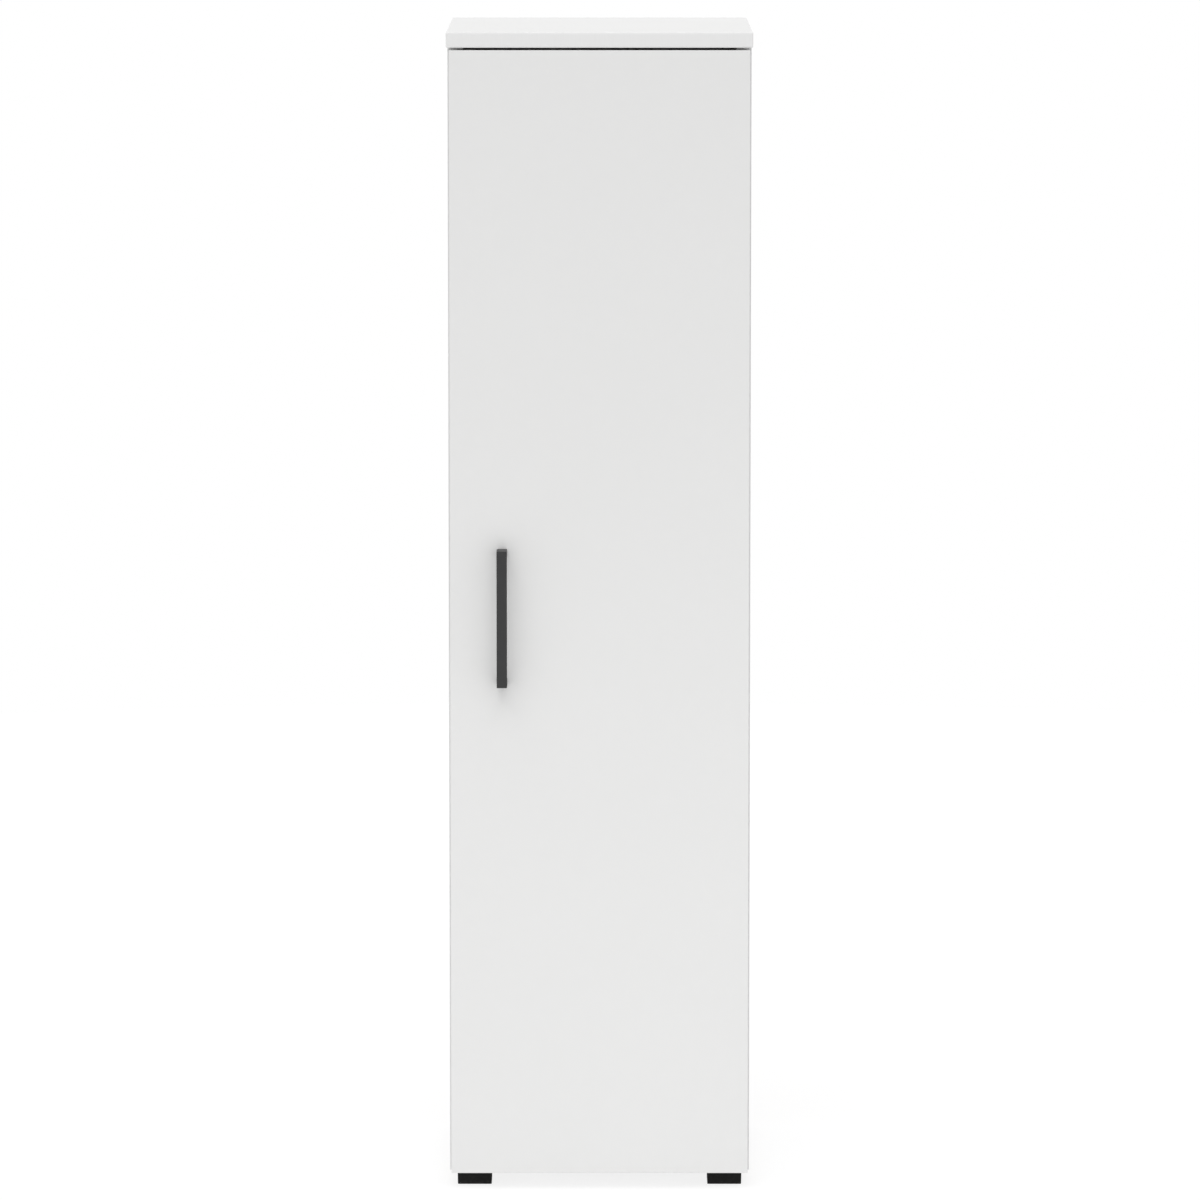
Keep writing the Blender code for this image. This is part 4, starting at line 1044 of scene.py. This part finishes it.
# %% Bumpers
bumper_low, bumper_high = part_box("door_bumper_lower")
thickness = bumper_high.y - bumper_low.y
dome_profile = ((0.0040, 0), (0.0040, 0.35), (0.0037, 0.62), (0.0030, 0.84), (0.0018, 0.97), (0.0008, 1))
dome = turned([(radius, thickness * share) for radius, share in dome_profile], 32)
places = {}
for word in ("lower", "upper"):
    spot = centre(f"door_bumper_{word}")
    places[word] = shift(spot.x, bumper_low.y, spot.z, (-math.pi / 2, 0, 0))
set_out(dome, places, "clear_bumper", "door", "door_bumper", [clear])
print("2 bumpers,", round(thickness * 1000, 2), "mm high")

# %% [markdown]
# ## The hinges
#
# Each hinge has a plate on the side, an arm over it, two links, and a cup in the door. The cup shows most,
# so it is turned anew: a thin bowl with a flat rim, open towards the side for the arm, with two ears for
# its screws. Every piece is made in the hinge's own frame and set three times. The origin of that frame
# lies on the inner face of the side, at its front edge. There x runs away from the side, and y runs
# forwards, into the door.

# %% Press a hinge cup
CUP_RADIUS = 0.0172
CUP_CENTRE = Vector((CUP_BACK, 0.002, 0))
hinge_frames = {word: shift(hinge_x, case_front, z, (0, 0, math.pi)) for word, z in hinge_heights.items()}

outer = [(-0.0012, 0.0127), (-0.0003, 0.0124), (0, 0.0115), (0, -PLAY)]
rim = [(0.0011, -PLAY), (0.0012, -0.0008), (0.0009, -0.0013), (-0.0005, -0.0013), (-0.0008, -0.0010)]
inner = [(-0.0008, 0.0105), (-0.0016, 0.0119)]
rings = [(CUP_RADIUS + wider, height) for wider, height in outer + rim + inner]
bowl = turned(rings + [(0.0040, 0.0119), (0.0030, 0.0112), (0.0010, 0.0112)], 72)
alone(bowl)
bowl.matrix_world = shift(CUP_CENTRE.x, CUP_CENTRE.y, 0, (-math.pi / 2, 0, 0))
settle()
work(bowl, block((-0.032, -0.0012, -0.0185), (-0.0034, 0.0015, 0.0185)))
ears = block((0.0048, 0.0009, -0.0292), (0.0152, 0.0015, 0.0292))
soften(ears, lambda edge: along(edge, Y), 0.004, 6)
soften_all(ears, 0.00015, 2)
work(ears, rod((CUP_CENTRE.x, -0.003, 0), (CUP_CENTRE.x, 0.006, 0), CUP_RADIUS - 0.0004, 72))
work(bowl, ears, "UNION")
print("cup:", len(bowl.data.polygons), "faces")

# %% Pins and screws of the cup
CUP_PINS = (((-0.0083, 0.0100), -0.0145, 0.0145), ((-0.0085, 0.00475), 0.0029, 0.0125),
            ((-0.0085, 0.00475), -0.0125, -0.0029))  # place and both ends

for spot, low_z, high_z in CUP_PINS:
    work(bowl, rod((*spot, low_z), (*spot, high_z), 0.0012, 24), "UNION")
cup_screw = pan_screw(radius=0.0017, length=0.0110, head_radius=0.0038, head_height=0.0013)
for z in (-EAR_SCREW, EAR_SCREW):
    copy = copied(cup_screw, shift(CUP_BACK + EAR_BACK, 0.0010, z, (-math.pi / 2, 0, 0)))
    work(bowl, copy, "UNION")
bpy.data.objects.remove(cup_screw)
last_cup = set_out(bowl, hinge_frames, "pressed_cup", "door", "hinge_cup", [plate])
print("3 hinge cups,", len(last_cup.data.polygons), "faces each")

# %% The plate on the side
PLATE_MIDDLE = -0.037  # of the plate and its screws, behind the front edge of the side
ARM_SCREW_HOLE = 0.0025

wings = block((PLAY, -0.047, -0.026), (0.003, -0.027, 0.026))
soften(wings, lambda edge: along(edge, X), 0.003, 6)
soften_all(wings, 0.0004, 2, math.radians(50))
riser = block((0.002, -0.048, -0.0043), (0.0093, -0.026, 0.0043))
soften_all(riser, 0.0006, 3)
work(wings, riser, "UNION")
plate_screw = pan_screw(radius=0.0025, length=0.0137, head_radius=0.0035, head_height=0.0016)
for z in (-PLATE_SCREW, PLATE_SCREW):
    copy = copied(plate_screw, shift(0.0029, PLATE_MIDDLE, z, (0, -math.pi / 2, 0)))
    work(wings, copy, "UNION")
bpy.data.objects.remove(plate_screw)
work(wings, rod((-OVERRUN, PLATE_MIDDLE, 0), (0.012, PLATE_MIDDLE, 0), ARM_SCREW_HOLE))
last_plate = set_out(wings, hinge_frames, "mounting_plate", "carcass", "hinge_plate", [plate])
print("3 mounting plates,", len(last_plate.data.polygons), "faces each")

# %% [markdown]
# ## Arm and links
#
# The arm is folded from sheet: a web with two cheeks, a step down to the plate, and a tongue that is pressed
# out of the web for the front link. Its side outline is drawn as a flat blank, pulled out to the full
# width, and hollowed with a second blank that leaves one sheet thickness. The folds are wide roundings, and
# the cut edges fine ones. A slot behind the fixing screw lets the arm slide, and a small screw in front
# sets the door sideways. The links are already stampings in the solids, so they are merged copies.

# %% Draw a blank and pull it out
def stamped(outline, low, high):
    """A flat blank with an outline in x and y, from one height to another."""
    let_go()
    bpy.ops.mesh.primitive_circle_add(vertices=len(outline), fill_type="NGON")
    piece = bpy.context.object
    for corner, (x, y) in zip(piece.data.vertices, outline):
        corner.co = (x, y, low)
    edit(piece)
    bpy.ops.mesh.select_all(action="SELECT")
    bpy.ops.mesh.extrude_region_move(TRANSFORM_OT_translate={"value": (0, 0, high - low)})
    face_outwards()
    return piece


def arc(spot, radius, first, last, steps=8):
    """Points on an arc between two angles in degrees."""
    angles = [math.radians(first + (last - first) * step / steps) for step in range(steps + 1)]
    return [(spot[0] + radius * math.cos(angle), spot[1] + radius * math.sin(angle)) for angle in angles]


print("blanks can be stamped")

# %% Fold a hinge arm
REAR_PIVOT = (0.0118, -0.00845)
FRONT_PIVOT = (0.0052, 0.0060)
ARM_HALF = 0.0060  # half of the arm's width
ARM_SLOT = -0.046  # end of the slot, which starts at the screw
SHEET = 0.0014  # thickness

web_line = [(0.0110, -0.062), (0.0110, -0.026), (0.0166, -0.016), (0.0166, -0.003)]
lower_line = [(0.0118, -0.003), *arc(REAR_PIVOT, 0.0032, 135, 180), (0.0086, -0.016), (0.0033, -0.026)]
arm = stamped([(0.0033, -0.062), *web_line, *lower_line], -ARM_HALF, ARM_HALF)
soften(arm, lambda edge: abs(abs(middle(edge).z) - ARM_HALF) < PLAY
       and middle(edge).x > 0.0109 and along(edge, Y), 0.0013, 5)
hollow = [(x - SHEET, y + step) for (x, y), step in zip(web_line, (-OVERRUN, 0, 0, OVERRUN))]
work(arm, stamped([(0, -0.064), *hollow, (0, -0.001)], SHEET - ARM_HALF, ARM_HALF - SHEET))
for y in (PLATE_MIDDLE, ARM_SLOT):
    work(arm, rod((0.008, y, 0), (0.0125, y, 0), ARM_SCREW_HOLE))
work(arm, block((0.008, ARM_SLOT, -ARM_SCREW_HOLE), (0.0125, PLATE_MIDDLE, ARM_SCREW_HOLE)))
soften_all(arm, 0.0002, 2, math.radians(50))
print("arm:", len(arm.data.polygons), "faces")

# %% Press out its tongue and rivet its pins
tongue_line = [(0.0162, -0.0035), (0.0146, 0.0009), *arc(FRONT_PIVOT, 0.0020, 51, 231, 14),
               (0.0114, -0.0017), (0.0135, -0.0061), (0.0146, -0.0072), (0.0162, -0.0072)]
TONGUE_HALF = 0.0012

tongue = stamped(tongue_line, -TONGUE_HALF, TONGUE_HALF)
soften(tongue, lambda edge: abs(abs(middle(edge).z) - TONGUE_HALF) < PLAY
       and middle(edge).x < 0.0125, 0.0002, 2)
work(arm, tongue, "UNION")
for spot, radius, half in ((REAR_PIVOT, 0.0012, 0.0064), (FRONT_PIVOT, 0.0009, 0.0026)):
    pin = rod((*spot, -half), (*spot, half), radius, 24)
    soften_all(pin, 0.0003, 3, math.radians(60))
    work(arm, pin, "UNION")
side_screw = pan_screw(radius=0.0012, length=0.0030, head_radius=0.0021, head_height=0.0010)
work(arm, copied(side_screw, shift(0.0166, -0.0128, 0, (0, -math.pi / 2, 0))), "UNION")
bpy.data.objects.remove(side_screw)
print("arm with tongue, pins and side screw:", len(arm.data.polygons), "faces")

# %% Set the arms, their screws and the links
LINK_EDGE = 0.00015

arm_screw = pan_screw(radius=0.0022, length=0.0064, head_radius=0.0038, head_height=0.0022)
for word, hinge_frame in hinge_frames.items():
    finish_piece(copied(arm, hinge_frame), f"folded_arm_{word}", "carcass", f"hinge_arm_{word}", [plate])
    spot = hinge_frame @ Vector((0.011 + PLAY, PLATE_MIDDLE, 0))
    copy = copied(arm_screw, shift(*spot, (0, math.pi / 2, 0)))
    finish_piece(copy, f"arm_bolt_{word}", "carcass", f"hinge_arm_screw_{word}", [plate])
    for link in ("rear_link", "front_link"):
        node = f"hinge_{link}_{word}"
        piece = finish_piece(refined(node, LINK_EDGE), f"stamped_{link}_{word}", f"{link}s", node, [plate])
        print(piece.name, len(piece.data.polygons), "faces")
bpy.data.objects.remove(arm_screw)
bpy.data.objects.remove(arm)
